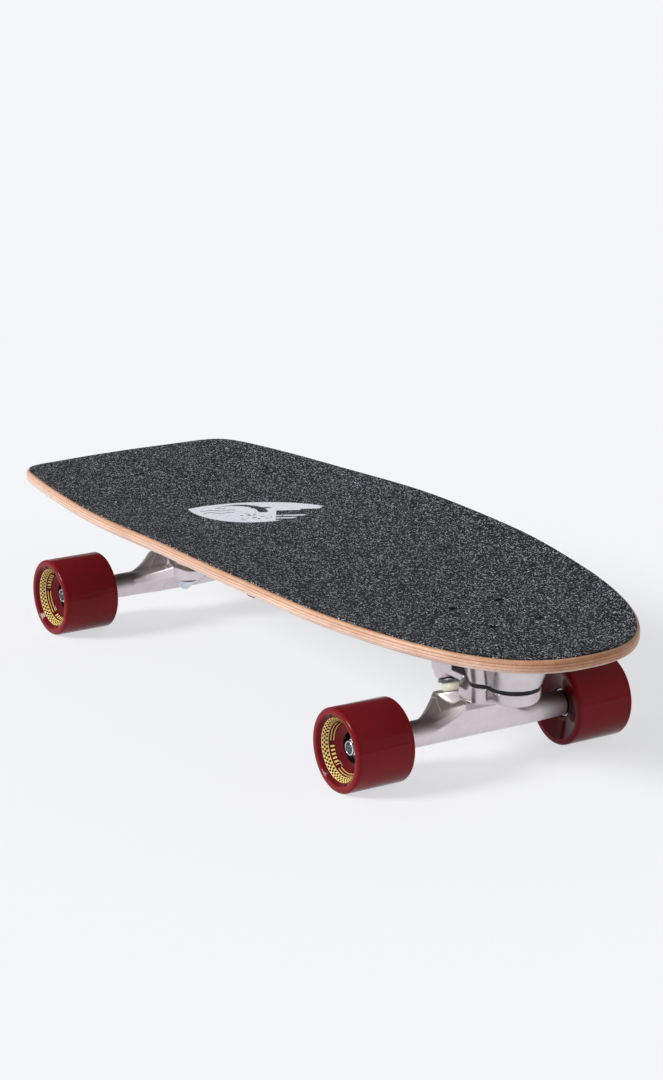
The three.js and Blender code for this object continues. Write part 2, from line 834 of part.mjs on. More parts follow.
const armCup = joined(
  skin([
    clubCap(armDiscs, cupTopZ),
    clubRing(armDiscs, leanAt, () => cupTopZ),
    clubRing(armDiscs, () => 0, () => cupTopZ - shoulderDepth),
    ...cupRoundShares.map(cupRing),
    clubRing(armDiscs, (point) => cupRoundAt(point) + cupRim, () => cupBottomZ),
    clubCap(armDiscs, cupBottomZ),
  ]),
  block(bridgeTailX, bridgeNoseX, bridgeHalfWidth, bridgeBottomZ, cupTopZ),
);
const farRight = deckHalfLength;
const clearSweep = swivelX - heelX + heelRadius + blockClearance;
const armBlock = cutBy(
  joined(
    turned(blockProfile(), roundSides, ringCentre, kingpinAxis),
    block(ringCentreX + bridgeTailX / 2, bridgeNoseX, neckHalfWidth, neckBottomZ, armBlockTopZ),
  ),
  block(-farRight, farRight, farRight, armBlockTopZ, farRight),
  rod(clearSweep, cupTopZ, farRight, swivelBase, zAxis),
);
const armBoss = cutBy(solidOf(pivotBoss()), block(-farRight, farRight, farRight, cupTopZ, farRight));
const sleeveRadius = swivelBearingRadius + seatGap + sleeveWall;
const washerRoom = rod(cupWasherRadius + blockClearance, 0, blockStart, ringCentre, kingpinAxis);
const cupMiddleZ = (cupBottomZ + cupTopZ) / 2;
const sleeve = rod(sleeveRadius, cupMiddleZ, sleeveTopZ, swivelBase, zAxis);
const armPin = rod(springPinRadius, cupMiddleZ, armPinTopZ, upright(armPinX, 0), zAxis, boltSides);
const armSolid = cutBy(
  cutBy(armCup, washerRoom).add(armBlock).add(armBoss).add(solidOf(sleeve)).add(solidOf(armPin)),
  ...kingpinHoles(),
  pivotHole(),
  rod(shaftRadius + seatGap, cupBottomZ - seatGap, sleeveTopZ, swivelBase, zAxis),
  rod(swivelBearingRadius + seatGap, lowerBearingZ - seatGap, sleeveTopZ + seatGap, swivelBase, zAxis),
  rod(shaftNutPocketRadius, cupBottomZ - seatGap, shaftNutZ + shaftNutHeight + seatGap, swivelBase, zAxis),
);
addMesh(front, 'swivel_arm', geometryOf(armSolid), 'cast');

// Swivel shaft with its nut, two bearings and the centring spring
const shaftSolid = joined(
  rod(shaftRadius, shaftTipZ, shaftHeadZ + shaftHeadHeight, swivelBase, zAxis, axleSides),
  hexBar(shaftHeadAcross, shaftHeadZ, shaftHeadZ + shaftHeadHeight, swivelBase, zAxis),
);
addMesh(front, 'swivel_shaft', geometryOf(shaftSolid), 'zinc');
const shaftNutSolid = cutBy(
  solidOf(hexBar(shaftNutAcross, shaftNutZ, shaftNutZ + shaftNutHeight, swivelBase, zAxis)),
  rod(shaftRadius + seatGap, shaftNutZ - seatGap, shaftNutZ + shaftNutHeight + seatGap, swivelBase, zAxis),
);
addMesh(front, 'swivel_shaft_nut', geometryOf(shaftNutSolid), 'zinc');

function tubeProfile(innerRadius, outerRadius, start, end) {
  return [
    [innerRadius, start],
    [outerRadius, start],
    [outerRadius, end],
    [innerRadius, end],
    [innerRadius, start],
  ];
}

for (const [place, bottomZ] of [['lower', lowerBearingZ], ['upper', upperBearingZ]]) {
  const topZ = bottomZ + swivelBearingHeight;
  const profile = tubeProfile(shaftRadius + seatGap, swivelBearingRadius, bottomZ, topZ);
  addMesh(front, `swivel_bearing_${place}`, turned(profile, bearingSides, swivelBase, zAxis), 'bearing');
}

// The spring's coil is a tube swept along a helix between an eye on each pin
class Helix extends THREE.Curve {
  getPoint(share, target = new THREE.Vector3()) {
    const from = fixedPinX + springCoilInset;
    const to = armPinX - springCoilInset;
    const angle = fullTurn * springTurns * share;
    const y = springCoilRadius * Math.sin(angle);
    const z = springZ + springCoilRadius * Math.cos(angle);
    return target.set(from + (to - from) * share, y, z);
  }
}

function wireShape() {
  const shape = new THREE.Shape();
  for (let side = 0; side < springWireSides; side += 1) {
    const angle = (fullTurn * side) / springWireSides;
    const x = springWireRadius * Math.cos(angle);
    const y = springWireRadius * Math.sin(angle);
    if (side === 0) {
      shape.moveTo(x, y);
    } else {
      shape.lineTo(x, y);
    }
  }
  return shape;
}

function springEye(pinX) {
  const eye = new THREE.TorusGeometry(springEyeRadius, springWireRadius, springWireSides, springEyeSteps);
  eye.translate(pinX, 0, springZ);
  return eye;
}

function springTail(pinX, coilX) {
  const way = Math.sign(coilX - pinX);
  const eyeEdge = new THREE.Vector3(pinX + way * springEyeRadius, 0, springZ);
  const coilEnd = new THREE.Vector3(coilX, 0, springZ + springCoilRadius);
  const run = coilEnd.clone().sub(eyeEdge);
  const end = run.length() + springWireRadius;
  return rod(springWireRadius, -springWireRadius, end, eyeEdge, run.normalize(), springWireSides);
}

const coil = new THREE.ExtrudeGeometry(wireShape(), {
  steps: springTurns * springStepsPerTurn,
  extrudePath: new Helix(),
  bevelEnabled: false,
});
const springSolid = joined(
  coil,
  springEye(fixedPinX),
  springEye(armPinX),
  springTail(fixedPinX, fixedPinX + springCoilInset),
  springTail(armPinX, armPinX - springCoilInset),
);
addMesh(front, 'return_spring', geometryOf(springSolid), 'zinc');

// Rear baseplate
const rearLocalBolts = boltPlaces(rearPatternX);

function nutRoom([, x, y]) {
  return rod(boltNutRoom, rearTipZ - seatGap, plateBottomZ, upright(x, y), zAxis);
}

const plateSolid = cutBy(
  joined(
    roundedPlate(plateNoseX, plateTailX, plateHalfWidth, plateCorner, plateBottomZ, plateTopZ),
    turned(blockProfile(), roundSides, ringCentre, kingpinAxis),
    rod(pivotPostRadius, pivotPostBottomZ, plateTopZ - seatGap, upright(pivotPostX, 0), zAxis),
    pivotBoss(),
    block(ringCentreX, pivotPostX, ribHalfWidth, ribBottomZ, plateTopZ - seatGap),
  ),
  block(-farRight, farRight, farRight, plateTopZ, farRight),
  ...kingpinHoles(),
  pivotHole(),
  ...boltHoles(rearLocalBolts, plateBottomZ - seatGap, plateTopZ + seatGap, holeRadius),
  ...rearLocalBolts.map(nutRoom),
);
addMesh(rear, 'rear_baseplate', geometryOf(plateSolid), 'cast');

const axleCentre = new THREE.Vector3(0, 0, axleHeight);

// Hanger webs: sections along the axle, each the outline round the tube and round the web's own ends
const ringWeb = {
  power: ringWebPower,
  ends: [{ x: ringWebX, z: ringWebZ, radius: ringWebRadius }],
};
const pivotWeb = {
  power: pivotWebPower,
  ends: [
    { x: ridgeX, z: ridgeZ, radius: ridgeRadius },
    { x: pivotWebX, z: pivotWebZ, radius: pivotWebRadius },
  ],
};

function webSection(y, web) {
  const away = THREE.MathUtils.clamp((Math.abs(y) - webFullHalf) / (webEndHalf - webFullHalf), 0, 1);
  const share = (1 - away) ** web.power;
  const { lerp } = THREE.MathUtils;
  const circles = [[0, axleHeight, tubeRadius - webInset]];
  for (const end of web.ends) {
    const radius = lerp(webRadiusAtTube, end.radius, share);
    circles.push([end.x * share, lerp(axleHeight, end.z, share), radius]);
  }
  const points = [];
  for (let side = 0; side < sectionSides; side += 1) {
    const angle = (fullTurn * side) / sectionSides;
    const reachX = Math.cos(angle);
    const reachZ = Math.sin(angle);
    const [x, z, radius] = circles.reduce((best, next) => {
      const bestReach = best[0] * reachX + best[1] * reachZ + best[2];
      const nextReach = next[0] * reachX + next[1] * reachZ + next[2];
      return nextReach > bestReach ? next : best;
    });
    points.push(new THREE.Vector3(x + radius * reachX, y, z + radius * reachZ));
  }
  return points;
}

function webSkin(web) {
  const stations = [];
  for (let step = 0; step <= webSteps; step += 1) {
    stations.push(webEndHalf * ((2 * step) / webSteps - 1));
  }
  const capAt = (y) => Array.from({ length: sectionSides }, () => new THREE.Vector3(0, y, axleHeight));
  const sections = stations.map((y) => webSection(y, web));
  return skin([capAt(-webEndHalf), ...sections, capAt(webEndHalf)]);
}

// Room for the kingpin nut as the hanger tilts: a round-ended slot across the hanger
function nutPocket() {
  const reach = nutPocketHalf - nutPocketRadius;
  const shape = new THREE.Shape();
  shape.absarc(0, reach, nutPocketRadius, 0, Math.PI);
  shape.absarc(0, -reach, nutPocketRadius, Math.PI, fullTurn);
  const geometry = slab(shape, nutPocketEnd, ringBottom);
  geometry.rotateY(-steerTilt);
  geometry.translate(ringCentre.x, ringCentre.y, ringCentre.z);
  return geometry;
}

function hangerGeometry() {
  const tube = turned([
    [0, -hangerHalfWidth],
    [tubeEndRadius - hangerEndChamfer, -hangerHalfWidth],
    [tubeEndRadius, hangerEndChamfer - hangerHalfWidth],
    [tubeRadius, -webEndHalf],
    [tubeRadius, webEndHalf],
    [tubeEndRadius, hangerHalfWidth - hangerEndChamfer],
    [tubeEndRadius - hangerEndChamfer, hangerHalfWidth],
    [0, hangerHalfWidth],
  ], roundSides, axleCentre, upAxis);
  const ring = turned([
    [0, ringBottom],
    [ringRadius - ringRound, ringBottom],
    [ringRadius, ringBottom + ringRound],
    [ringRadius, ringTop - ringRound],
    [ringRadius - ringRound, ringTop],
    [0, ringTop],
  ], roundSides, ringCentre, kingpinAxis);
  const stem = turned([
    [0, stemStart],
    [stemRadius, stemStart],
    [stemRadius, stemShoulder],
    [stemRadius * stemRoundShare, stemShoulder + (stemTip - stemShoulder) * stemRoundShare],
    [0, stemTip],
  ], axleSides, ringCentre, steerAxis);
  const reach = hangerHalfWidth + seatGap;
  const solid = cutBy(
    joined(tube, webSkin(ringWeb), webSkin(pivotWeb), ring, stem),
    rod(ringBoreRadius, ringFloorBottom - seatGap, ringFloorTop + seatGap, ringCentre, kingpinAxis),
    rod(ringSeatRadius, ringFloorTop, blockStart, ringCentre, kingpinAxis),
    rod(skirtBoreRadius, skirtBoreEnd, ringFloorBottom, ringCentre, kingpinAxis),
    nutPocket(),
    block(skirtCutX - ringRadius, skirtCutX, ringRadius, 0, skirtCutZ),
    rod(axleRadius + seatGap, -reach, reach, axleCentre, upAxis, axleSides),
  );
  return geometryOf(solid);
}

function kingpinGeometry() {
  const headTop = kingpinHeadBase + kingpinHeadHeight;
  const shank = rod(kingpinRadius, -kingpinBelow, headTop, ringCentre, kingpinAxis, axleSides);
  const head = hexBar(kingpinHeadAcross, kingpinHeadBase, headTop, ringCentre, kingpinAxis);
  return geometryOf(joined(shank, head));
}

function kingpinNutGeometry() {
  const nutTop = kingpinNutBase + kingpinNutHeight;
  return geometryOf(cutBy(
    solidOf(hexBar(kingpinNutAcross, kingpinNutBase, nutTop, ringCentre, kingpinAxis)),
    rod(kingpinRadius + seatGap, kingpinNutBase - seatGap, nutTop + seatGap, ringCentre, kingpinAxis),
  ));
}

function bushingProfile(bushing) {
  const bore = kingpinRadius + seatGap;
  return [
    [bore, bushing.start],
    [bushing.waist, bushing.start],
    [bushing.middle, (bushing.start + bushing.end) / 2],
    [bushing.waist, bushing.end],
    [bore, bushing.end],
    [bore, bushing.start],
  ];
}

function cupWasherProfile() {
  const bore = kingpinRadius + seatGap;
  const face = topBushing.end + seatGap;
  const back = face + washerThickness;
  const lipInner = cupWasherRadius - washerThickness / 2;
  return [
    [bore, face],
    [lipInner, face],
    [lipInner, face - cupWasherLip],
    [cupWasherRadius, face - cupWasherLip],
    [cupWasherRadius, back],
    [bore, back],
    [bore, face],
  ];
}

function lowerWasherProfile() {
  const face = bottomBushing.end - seatGap;
  return tubeProfile(kingpinRadius + seatGap, lowerWasherRadius, face - washerThickness, face);
}

function pivotCupProfile() {
  const innerRadius = stemRadius + seatGap;
  const shoulder = stemShoulder + seatGap;
  const tip = stemTip + seatGap;
  return [
    [0, tip],
    [innerRadius * stemRoundShare, shoulder + (tip - shoulder) * stemRoundShare],
    [innerRadius, shoulder],
    [innerRadius, pivotCupStart],
    [pivotCupRadius, pivotCupStart],
    [pivotCupRadius, pivotCupEnd],
    [0, pivotCupEnd],
  ];
}

function axleProfile() {
  const tipRadius = axleRadius - axleChamfer;
  return [
    [0, -axleHalfLength],
    [tipRadius, -axleHalfLength],
    [axleRadius, axleChamfer - axleHalfLength],
    [axleRadius, axleHalfLength - axleChamfer],
    [tipRadius, axleHalfLength],
    [0, axleHalfLength],
  ];
}

function bearingProfile(start) {
  const bore = axleRadius + seatGap;
  const end = start + bearingWidth;
  return [
    [bore, start],
    [bearingRadius, start],
    [bearingRadius, end],
    [bore, end],
    [bore, start],
  ];
}

// Wheel profile from the bearing seats over the inner dish, the tread and the outer bowl.
// The tread lies flat on the ground, so the polygon's corners stand out by its own factor.
const treadRadius = wheelRadius / Math.cos(Math.PI / wheelSides);

function wheelProfile() {
  const seatRadius = bearingRadius + seatGap;
  const lipStart = innerBearingStart + bearingWidth + seatGap;
  const lipEnd = outerBearingStart - seatGap;
  const outerFace = wheelInnerFace + wheelWidth;
  const outerRoundIn = outerRimRound * roundMiddleShare;
  return [
    [coreLipRadius, lipStart],
    [seatRadius, lipStart],
    [seatRadius, wheelInnerFace + innerDishDepth],
    [innerDishFloorRadius, wheelInnerFace + innerDishDepth],
    [innerDishRadius, wheelInnerFace],
    [treadRadius - innerRimRound, wheelInnerFace],
    [treadRadius, wheelInnerFace + innerRimRound],
    [treadRadius, outerFace - outerRimRound],
    [treadRadius - outerRoundIn, outerFace - outerRoundIn],
    [treadRadius - outerRimRound, outerFace],
    [outerLipRadius, outerFace],
    [bowlShoulderRadius, outerFace - bowlShoulderDepth],
    [bandOuterRadius, outerFace - bandOuterDepth],
    [bandInnerRadius, outerFace - bandInnerDepth],
    [seatRadius, outerFace - hubEdgeDepth],
    [seatRadius, lipEnd],
    [coreLipRadius, lipEnd],
    [coreLipRadius, lipStart],
  ];
}

function axleNutGeometry(side) {
  const washerEnd = axleNutStart + axleNutWasherHeight;
  const nutEnd = washerEnd + axleNutHeight;
  return geometryOf(cutBy(
    joined(
      rod(axleNutWasherRadius, axleNutStart, washerEnd, axleCentre, side, bearingSides),
      hexBar(axleNutAcross, washerEnd - seatGap, nutEnd, axleCentre, side),
    ),
    rod(axleRadius + seatGap, axleNutStart - seatGap, nutEnd + seatGap, axleCentre, side, axleSides),
  ));
}

// One truck's hanger, kingpin stack, axle and wheels; left and right are as seen from above, nose ahead
const treadTurn = Math.PI / wheelSides;
function addTruckPieces(truck, name, leftSide) {
  addMesh(truck, `${name}_hanger`, hangerGeometry(), 'cast');
  addMesh(truck, `${name}_kingpin`, kingpinGeometry(), 'zinc');
  addMesh(truck, `${name}_kingpin_nut`, kingpinNutGeometry(), 'zinc');
  const stack = [
    ['bushing_top', bushingProfile(topBushing), 'ivory'],
    ['bushing_bottom', bushingProfile(bottomBushing), 'ivory'],
    ['cup_washer_top', cupWasherProfile(), 'darkSteel'],
    ['washer_bottom', lowerWasherProfile(), 'darkSteel'],
  ];
  for (const [piece, profile, finish] of stack) {
    addMesh(truck, `${name}_${piece}`, turned(profile, roundSides, ringCentre, kingpinAxis), finish);
  }
  const pivotCup = turned(pivotCupProfile(), bearingSides, ringCentre, steerAxis);
  addMesh(truck, `${name}_pivot_cup`, pivotCup, 'black');
  addMesh(truck, `${name}_axle`, turned(axleProfile(), axleSides, axleCentre, upAxis), 'zinc');
  const spacerStart = innerBearingStart + bearingWidth + seatGap;
  const spacerEnd = outerBearingStart - seatGap;
  const spacer = tubeProfile(axleRadius + seatGap, spacerRadius, spacerStart, spacerEnd);
  for (const [place, way] of [['left', leftSide], ['right', -leftSide]]) {
    const side = new THREE.Vector3(0, way, 0);
    const wheel = turned(wheelProfile(), wheelSides, axleCentre, side, treadTurn);
    addMesh(truck, `${name}_wheel_${place}`, wheel, 'urethane');
    addMesh(
      truck,
      `${name}_bearing_inner_${place}`,
      turned(bearingProfile(innerBearingStart), bearingSides, axleCentre, side),
      'bearing',
    );
    addMesh(
      truck,
      `${name}_bearing_outer_${place}`,
      turned(bearingProfile(outerBearingStart), bearingSides, axleCentre, side),
      'bearing',
    );
    addMesh(truck, `${name}_bearing_spacer_${place}`, turned(spacer, axleSides, axleCentre, side), 'zinc');
    addMesh(truck, `${name}_axle_nut_${place}`, axleNutGeometry(side), 'zinc');
  }
}

addTruckPieces(front, 'front', 1);
addTruckPieces(rear, 'rear', -1);

export default group;
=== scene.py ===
import math

import bmesh
import bpy
import numpy as np
from mathutils import Matrix, Vector


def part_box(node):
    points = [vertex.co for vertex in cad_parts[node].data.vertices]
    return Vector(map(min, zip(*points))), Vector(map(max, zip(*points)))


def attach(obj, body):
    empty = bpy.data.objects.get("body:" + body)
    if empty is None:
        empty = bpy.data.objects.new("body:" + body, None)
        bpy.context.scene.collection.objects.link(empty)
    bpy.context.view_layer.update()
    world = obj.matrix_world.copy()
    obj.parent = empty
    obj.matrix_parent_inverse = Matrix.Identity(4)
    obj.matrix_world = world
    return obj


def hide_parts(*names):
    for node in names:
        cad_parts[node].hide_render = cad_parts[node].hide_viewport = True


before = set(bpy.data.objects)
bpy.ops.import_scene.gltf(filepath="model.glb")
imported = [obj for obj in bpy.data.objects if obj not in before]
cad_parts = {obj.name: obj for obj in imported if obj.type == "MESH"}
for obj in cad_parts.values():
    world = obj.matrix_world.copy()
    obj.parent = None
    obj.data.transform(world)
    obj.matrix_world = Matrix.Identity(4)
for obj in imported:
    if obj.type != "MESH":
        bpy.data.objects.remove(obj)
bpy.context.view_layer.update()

# Lengths are in millimetres, as on the drawings, and are turned into metres where a mesh is made.
MM = 0.001

# Camera, from the photograph's own perspective
view_azimuth = math.radians(58.22)
view_elevation = math.radians(15.79)
view_roll = math.radians(-0.34)
view_distance = 2510.66
view_target = (10.34, 0, 127.93)
lens_length = 103.14
sensor_length = 36
view_reach = 100

# Floor and light
floor_reach = 30000
floor_tone = (242, 242, 245)
floor_glow_tone = (247, 248, 250)
floor_glow = 1.07
floor_glow_share = 0.61
backdrop_tone = (246, 247, 249)
horizon_strength = 1.15
zenith_strength = 0.0
tent_stops = [(0.0, 0.9), (0.012, 0.05), (0.05, 0.05), (0.075, 0.62), (0.5, 0.5), (1.0, 0.42)]
key_azimuth = math.radians(-14)
key_elevation = math.radians(28.5)
key_strength = 3.5
key_spread = math.radians(18)

# How round solids meet, are cut and are drilled, and how far cuts and joined parts run past each other
cast_edge = 0.8
less_edge = 0.6
seat_edge = 0.3
drill_edge = 0.1
small_lap = 1
lap = 2
wide_lap = 3
long_lap = 5

# Cells and settling of the skinned solids, and the angles from which edges are sharp
cast_cell = 0.8
kingpin_cell = 0.6
nut_cell = 0.4
bolt_cell = 0.35
block_cells = 4
near_share = 1.7
far_value = 9.0
probe = 0.04
settling_rounds = 3
least_slope = 0.25
cast_sharp_degrees = 35
lathe_sharp_degrees = 40
sheet_sharp_degrees = 50
join_distance = 0.01
shortest_edge = 0.001
round_room = 0.49
drill_sides = 32
ring_sides = 64
wheel_sides = 96

# Deck and grip tape
deck_half_length = 365
deck_half_width = 134.5
deck_thickness = 10.5
widest_x = -40
nose_along_power = 2.6
nose_across_power = 2.38
tail_taper_share = 0.267
tail_taper_power = 2.12
tail_corner_power = 34
tail_corner_root = 2.2
spine_inset = 75
top_edge_round = 2.6
bottom_edge_round = 4
concave_flat_half = 42
concave_rise = 8
concave_full_at = 134
grip_thickness = 1
grip_gap = 0.2
grip_inset = 2.5
grip_edge_round = 0.35
grip_bottom_round = 0.1
grip_drill_half = 6
deck_drill_depth = 20
top_stations = [
    (-365, 123.4),
    (-302, 124.2),
    (-198, 124.2),
    (-10, 128.8),
    (90, 128.8),
    (195, 126.9),
    (300, 126.9),
    (365, 127.2),
]
outline_points = 420
outline_fine_points = 6001
outline_run = 6
outline_bend = 0.04
sheet_steps = 12
round_steps = 5
front_top_z = 126.9
rear_top_z = 124.2
seat_gap = 0.3

# Deck bolts
bolt_spacing_along = 54
bolt_spacing_across = 41.3
bolt_radius = 2.5
bolt_head_radius = 4.6
bolt_head_height = 2.6
grip_hole_radius = 4.8
bolt_grip_drop = 0.2
bolt_nut_across = 8.8
bolt_nut_height = 4
bolt_nut_room = 6
bolt_tip_length = 0.8
bolt_rim = 0.4
bolt_neck_edge = 0.2
bolt_tip_edge = 0.5
bolt_room = 5.5
cross_half_width = 0.55
cross_half_length = 2.5
cross_depth = 1.9
cross_slope = 0.35
cross_edge = 0.15
hex_round_share = 1.06
hex_round_across = 0.5
hex_round_depth = 0.55
hex_round_along = 0.85
front_pattern_x = 30
rear_pattern_x = -8

# Trucks, in their own frame: +X to the pivot, the axle at X = 0
axle_height = 33
steer_tilt = math.radians(18)
ring_centre = np.array([-22.0, 0.0, 50.5])
steer_axis = np.array([math.cos(steer_tilt), 0, math.sin(steer_tilt)])
kingpin_axis = np.array([-math.sin(steer_tilt), 0, math.cos(steer_tilt)])
z_axis = np.array([0.0, 0.0, 1.0])
axle_centre = np.array([0.0, 0.0, axle_height])
hanger_half_width = 81
tube_radius = 10.4
tube_end_radius = 9.6
web_full_half = 19
web_end_half = 55
web_shoulder_half = 13
web_shoulder_z = 57
web_shoulder_slope = 0.42
web_shoulder_edge = 1
# Corners of the webs' sections as (x, z), and how softly the webs meet the rest at the ends and inside
ring_web_middle = [(3, 39.6), (-23, 49.4), (-28.6, 49.6), (-28.6, 43.4), (-3.6, 26.4)]
ring_web_end = [(3, 39.6), (-1, 40.4), (-5, 37), (-6, 34), (-3.6, 26.4)]
ring_web_power = 1.4
ring_web_edge = 1.8
ring_web_blends = (0.4, 5)
pivot_web_middle = [(8.2, 28.4), (16.2, 49.2), (14.2, 54.2), (9.0, 56.9), (8.2, 56.8), (-7.2, 38.0)]
pivot_web_end = [(8.2, 28.4), (8.2, 34), (5, 39), (1, 41), (-1, 40.8), (-7.2, 38.0)]
pivot_web_power = 2
pivot_web_edge = 0.8
pivot_web_blends = (0.3, 3)
tube_end_edge = 1.6
axle_bore_half = 90
ring_edge = 1.6
ring_blend = 3.5
stem_edge = 3
stem_blend = 2
ring_radius = 18.3
ring_top = 2.6
ring_bottom = -13
ring_floor_top = 1.4
ring_floor_bottom = -3.4
ring_seat_radius = 13.1
ring_bore_radius = 8
skirt_bore_radius = 14.9
skirt_bore_end = -17
skirt_cut_x = -24
skirt_cut_z = 38
nut_pocket_radius = 9
nut_pocket_half = 20
nut_pocket_end = -34
stem_radius = 5
stem_start = 18
stem_tip = 56
pivot_cup_radius = 7.6
pivot_cup_end = 58.6
pivot_relief_start = 22
pivot_boss_radius = 11
pivot_boss_start = 44.4
pivot_boss_end = 60.5
pivot_boss_edge = 2
kingpin_radius = 5
kingpin_tip_edge = 1
kingpin_tip = -25.2
kingpin_head_base = 36
kingpin_head_height = 6.2
kingpin_head_across = 16
kingpin_nut_across = 13.5
kingpin_nut_base = -23.7
kingpin_nut_height = 9.5
kingpin_collar_free = 1.6
collar_height = 2.4
collar_inset = 0.5
washer_thickness = 1.7
cup_washer_radius = 14.4
cup_washer_lip = 1.6
# Bushings: start and end along the kingpin, radius at the start and where it is fullest
top_bushing = (1.7, 10.6, 12.2, 12.8)
bottom_bushing = (-3.7, -12, 10.2, 11.2)
bushing_full_share = 0.3
bushing_taper = 0.6
lower_washer_radius = 11
block_radius = 16.4
block_start = 12.9
block_end = 50
block_edge = 3
head_pocket_radius = 9.8

# Front swivel
swivel_x = 52
lobe_radius = 20
ear_x = 33
ear_y = 16
ear_radius = 10
heel_x = 0
heel_radius = 9.8
shoulder_x = 17.5
shoulder_y = 15.5
shoulder_radius = 9.5
shoulder_lean = 5.4
shoulder_depth = 5.5
lean_tail_end = 10
lean_nose_start = 20
lean_nose_end = 32
cup_bottom_z = 63.4
cup_top_z = 74.8
cup_heel_round = 2.8
cup_lobe_round = 8
cup_ear_drop = 3
drop_nose_end = 14
drop_heel_end = 12
housing_bottom_z = 77.4
housing_middle_z = 90.3
housing_wall = 4
notch_blend = 3.5
ear_flare = 3.4
lobe_flare = 8
lobe_flare_start = 46
lobe_flare_end = 66
flare_middle_share = 0.62
housing_ceiling_z = 96.6
flange_bottom_z = 103
pad_thickness = 3.6
flange_nose_x = 81
flange_tail_x = -9
flange_half_width = 29.5
flange_corner = 11
flange_edge = 1.6
flange_blend = 4
cavity_edge = 2
arm_block_top_z = 96
block_clearance = 0.9
bridge_half_width = 10.5
bridge_tail_x = -27
bridge_nose_x = 8
bridge_bottom_z = 66
neck_half_width = 16
neck_bottom_z = 69
neck_tail_x = -35.5
arm_box_edge = 2
arm_blend = 3
arm_top_edge = 1.5
head_blend = 1.2
boss_blend = 2
boss_top_edge = 0.5
cup_drop_fade = 4
washer_room_start = -5
sweep_top_z = 200
shaft_radius = 5
shaft_head_z = 104.3
shaft_pocket_radius = 9.8
shaft_nut_z = 64.4
shaft_nut_height = 5.4
shaft_nut_pocket_radius = 9.4
swivel_bearing_radius = 9.5
lower_bearing_z = 73.5
sleeve_wall = 2.2
sleeve_top_z = 95.8
spring_pin_radius = 2.6
arm_pin_x = 34
arm_pin_top_z = 91
fixed_pin_x = 3
fixed_pin_bottom_z = 80

# Rear baseplate
riser_thickness = 18
plate_thickness = 7.5
plate_nose_x = -49
plate_tail_x = 34
plate_half_width = 28
plate_corner = 8
pivot_post_x = 31
pivot_post_radius = 10.5
pivot_post_bottom_z = 70
rib_half_width = 5
rib_bottom_z = 73
rib_edge = 2
rib_blend = 4
post_edge = 1
post_blend = 3
plate_blend = 6

# Axles, bearings and wheels, measured outwards along the axle
axle_radius = 4
wheel_radius = 33
wheel_width = 51
wheel_inner_face = 75.1
wheel_lip_radius = 9
inner_hollow_depth = 5.6
inner_hollow_radius = 14
inner_face_radius = 28
outer_face_radius = 28.2
bowl_step_radius = 24.6
bowl_step_depth = 3.4
bowl_floor_radius = 23.2
bowl_floor_depth = 4.8
hub_radius = 19
hub_depth = 12
hub_edge_depth = 15
bearing_radius = 11
bearing_width = 7
inner_race_radius = 5.6
outer_race_radius = 10
shield_inner_radius = 5.8
shield_outer_radius = 9.8
shield_sink = 0.5
shield_least_depth = 0.2
inner_bearing_start = 82.4
spacer_length = 10
axle_nut_across = 13
axle_nut_height = 6.5
axle_nut_washer_radius = 6.6
axle_nut_washer_height = 1
axle_collar_free = 1.4
collar_blend = 0.4
nut_bore_edge = 0.5
axle_nut_room = 9

deck_top_drop = grip_thickness + grip_gap
deck_bottom_drop = deck_top_drop + deck_thickness
front_deck_top = front_top_z - deck_top_drop
rear_deck_top = rear_top_z - deck_top_drop
front_seat_z = front_top_z - deck_bottom_drop - seat_gap
rear_seat_z = rear_top_z - deck_bottom_drop - seat_gap
flange_top_z = front_seat_z - pad_thickness - seat_gap
plate_top_z = rear_seat_z - riser_thickness - seat_gap
plate_bottom_z = plate_top_z - plate_thickness
front_tip_z = flange_bottom_z + bolt_tip_length
rear_nut_top_z = plate_bottom_z - seat_gap
rear_tip_z = rear_nut_top_z - bolt_nut_height - bolt_tip_length
outer_bearing_start = inner_bearing_start + bearing_width + spacer_length
axle_nut_start = outer_bearing_start + bearing_width + seat_gap

# Wood, in tones from 0 to 255 as they show on screen, by height in the deck; the palest tones at the very
# bottom are a painted highlight on the lower edge, and below the grain come the painted shade of the
# underside and the painted shade round the deck bolts
ply_and_highlight_stops = [
    (0.0, (232, 216, 208)), (0.08, (222, 202, 190)), (0.25, (220, 194, 178)), (0.28, (172, 128, 108)),
    (0.31, (222, 194, 176)), (0.46, (218, 186, 164)), (0.49, (158, 114, 92)), (0.53, (220, 190, 168)),
    (0.66, (216, 182, 158)), (0.70, (150, 106, 82)), (0.74, (208, 170, 142)), (1.0, (202, 160, 130)),
]
grain_tone = (176, 112, 72)
fine_grain_tone = (160, 100, 66)
end_grain_tone = (218, 188, 160)
underside_shade_tone = (62, 52, 46)
underside_facing = -0.93
bolt_hole_shade_tone = (24, 22, 22)
bolt_hole_shade_radius = 5.4

# Grip mineral, and the print on it
cloud_low = 0.3
cloud_high = 0.7
grain_scale = 1150
mineral_stops = [
    (0.0, (2, 3, 5)), (0.5, (5, 6, 9)), (0.66, (30, 31, 37)), (0.85, (82, 84, 91)), (1.0, (202, 204, 212)),
]
print_stops = [(0.0, (196, 200, 207)), (0.2, (226, 229, 234)), (1.0, (236, 239, 243))]
grip_cloud_tone = (46, 47, 53)
grip_cloud_share = 0.12
motif_x = -102
motif_y = -6
motif_turn = math.radians(58.2)
# Ovals of the print: middle along and up, reach along and up
motif_ovals = {
    "lower edge": (0, -20, 75, 56),
    "upper edge": (0, 40, 60, 76),
    "curl": (-14, 0, 25, 28),
    "curl hole": (-19, -2, 22, 26),
    "lip": (5, 15, 9, 2.5),
    "ripples": (-31, 6, 15, 12),
    "foam": (0, -16, 24, 13),
}
curl_floor = -1
sea_start = 18
sea_top = 4
far_sea_start = 38
far_sea_top = 8
line_shift = 14
line_pitch = 4.4
line_width = 1.9
line_top = -10
line_lean = 0.75
line_reach = 56
ripple_length = 2.6
ripple_height = 1.6
ripple_pitch = 4.2
ripple_width = 0.8
foam_level = 0.6
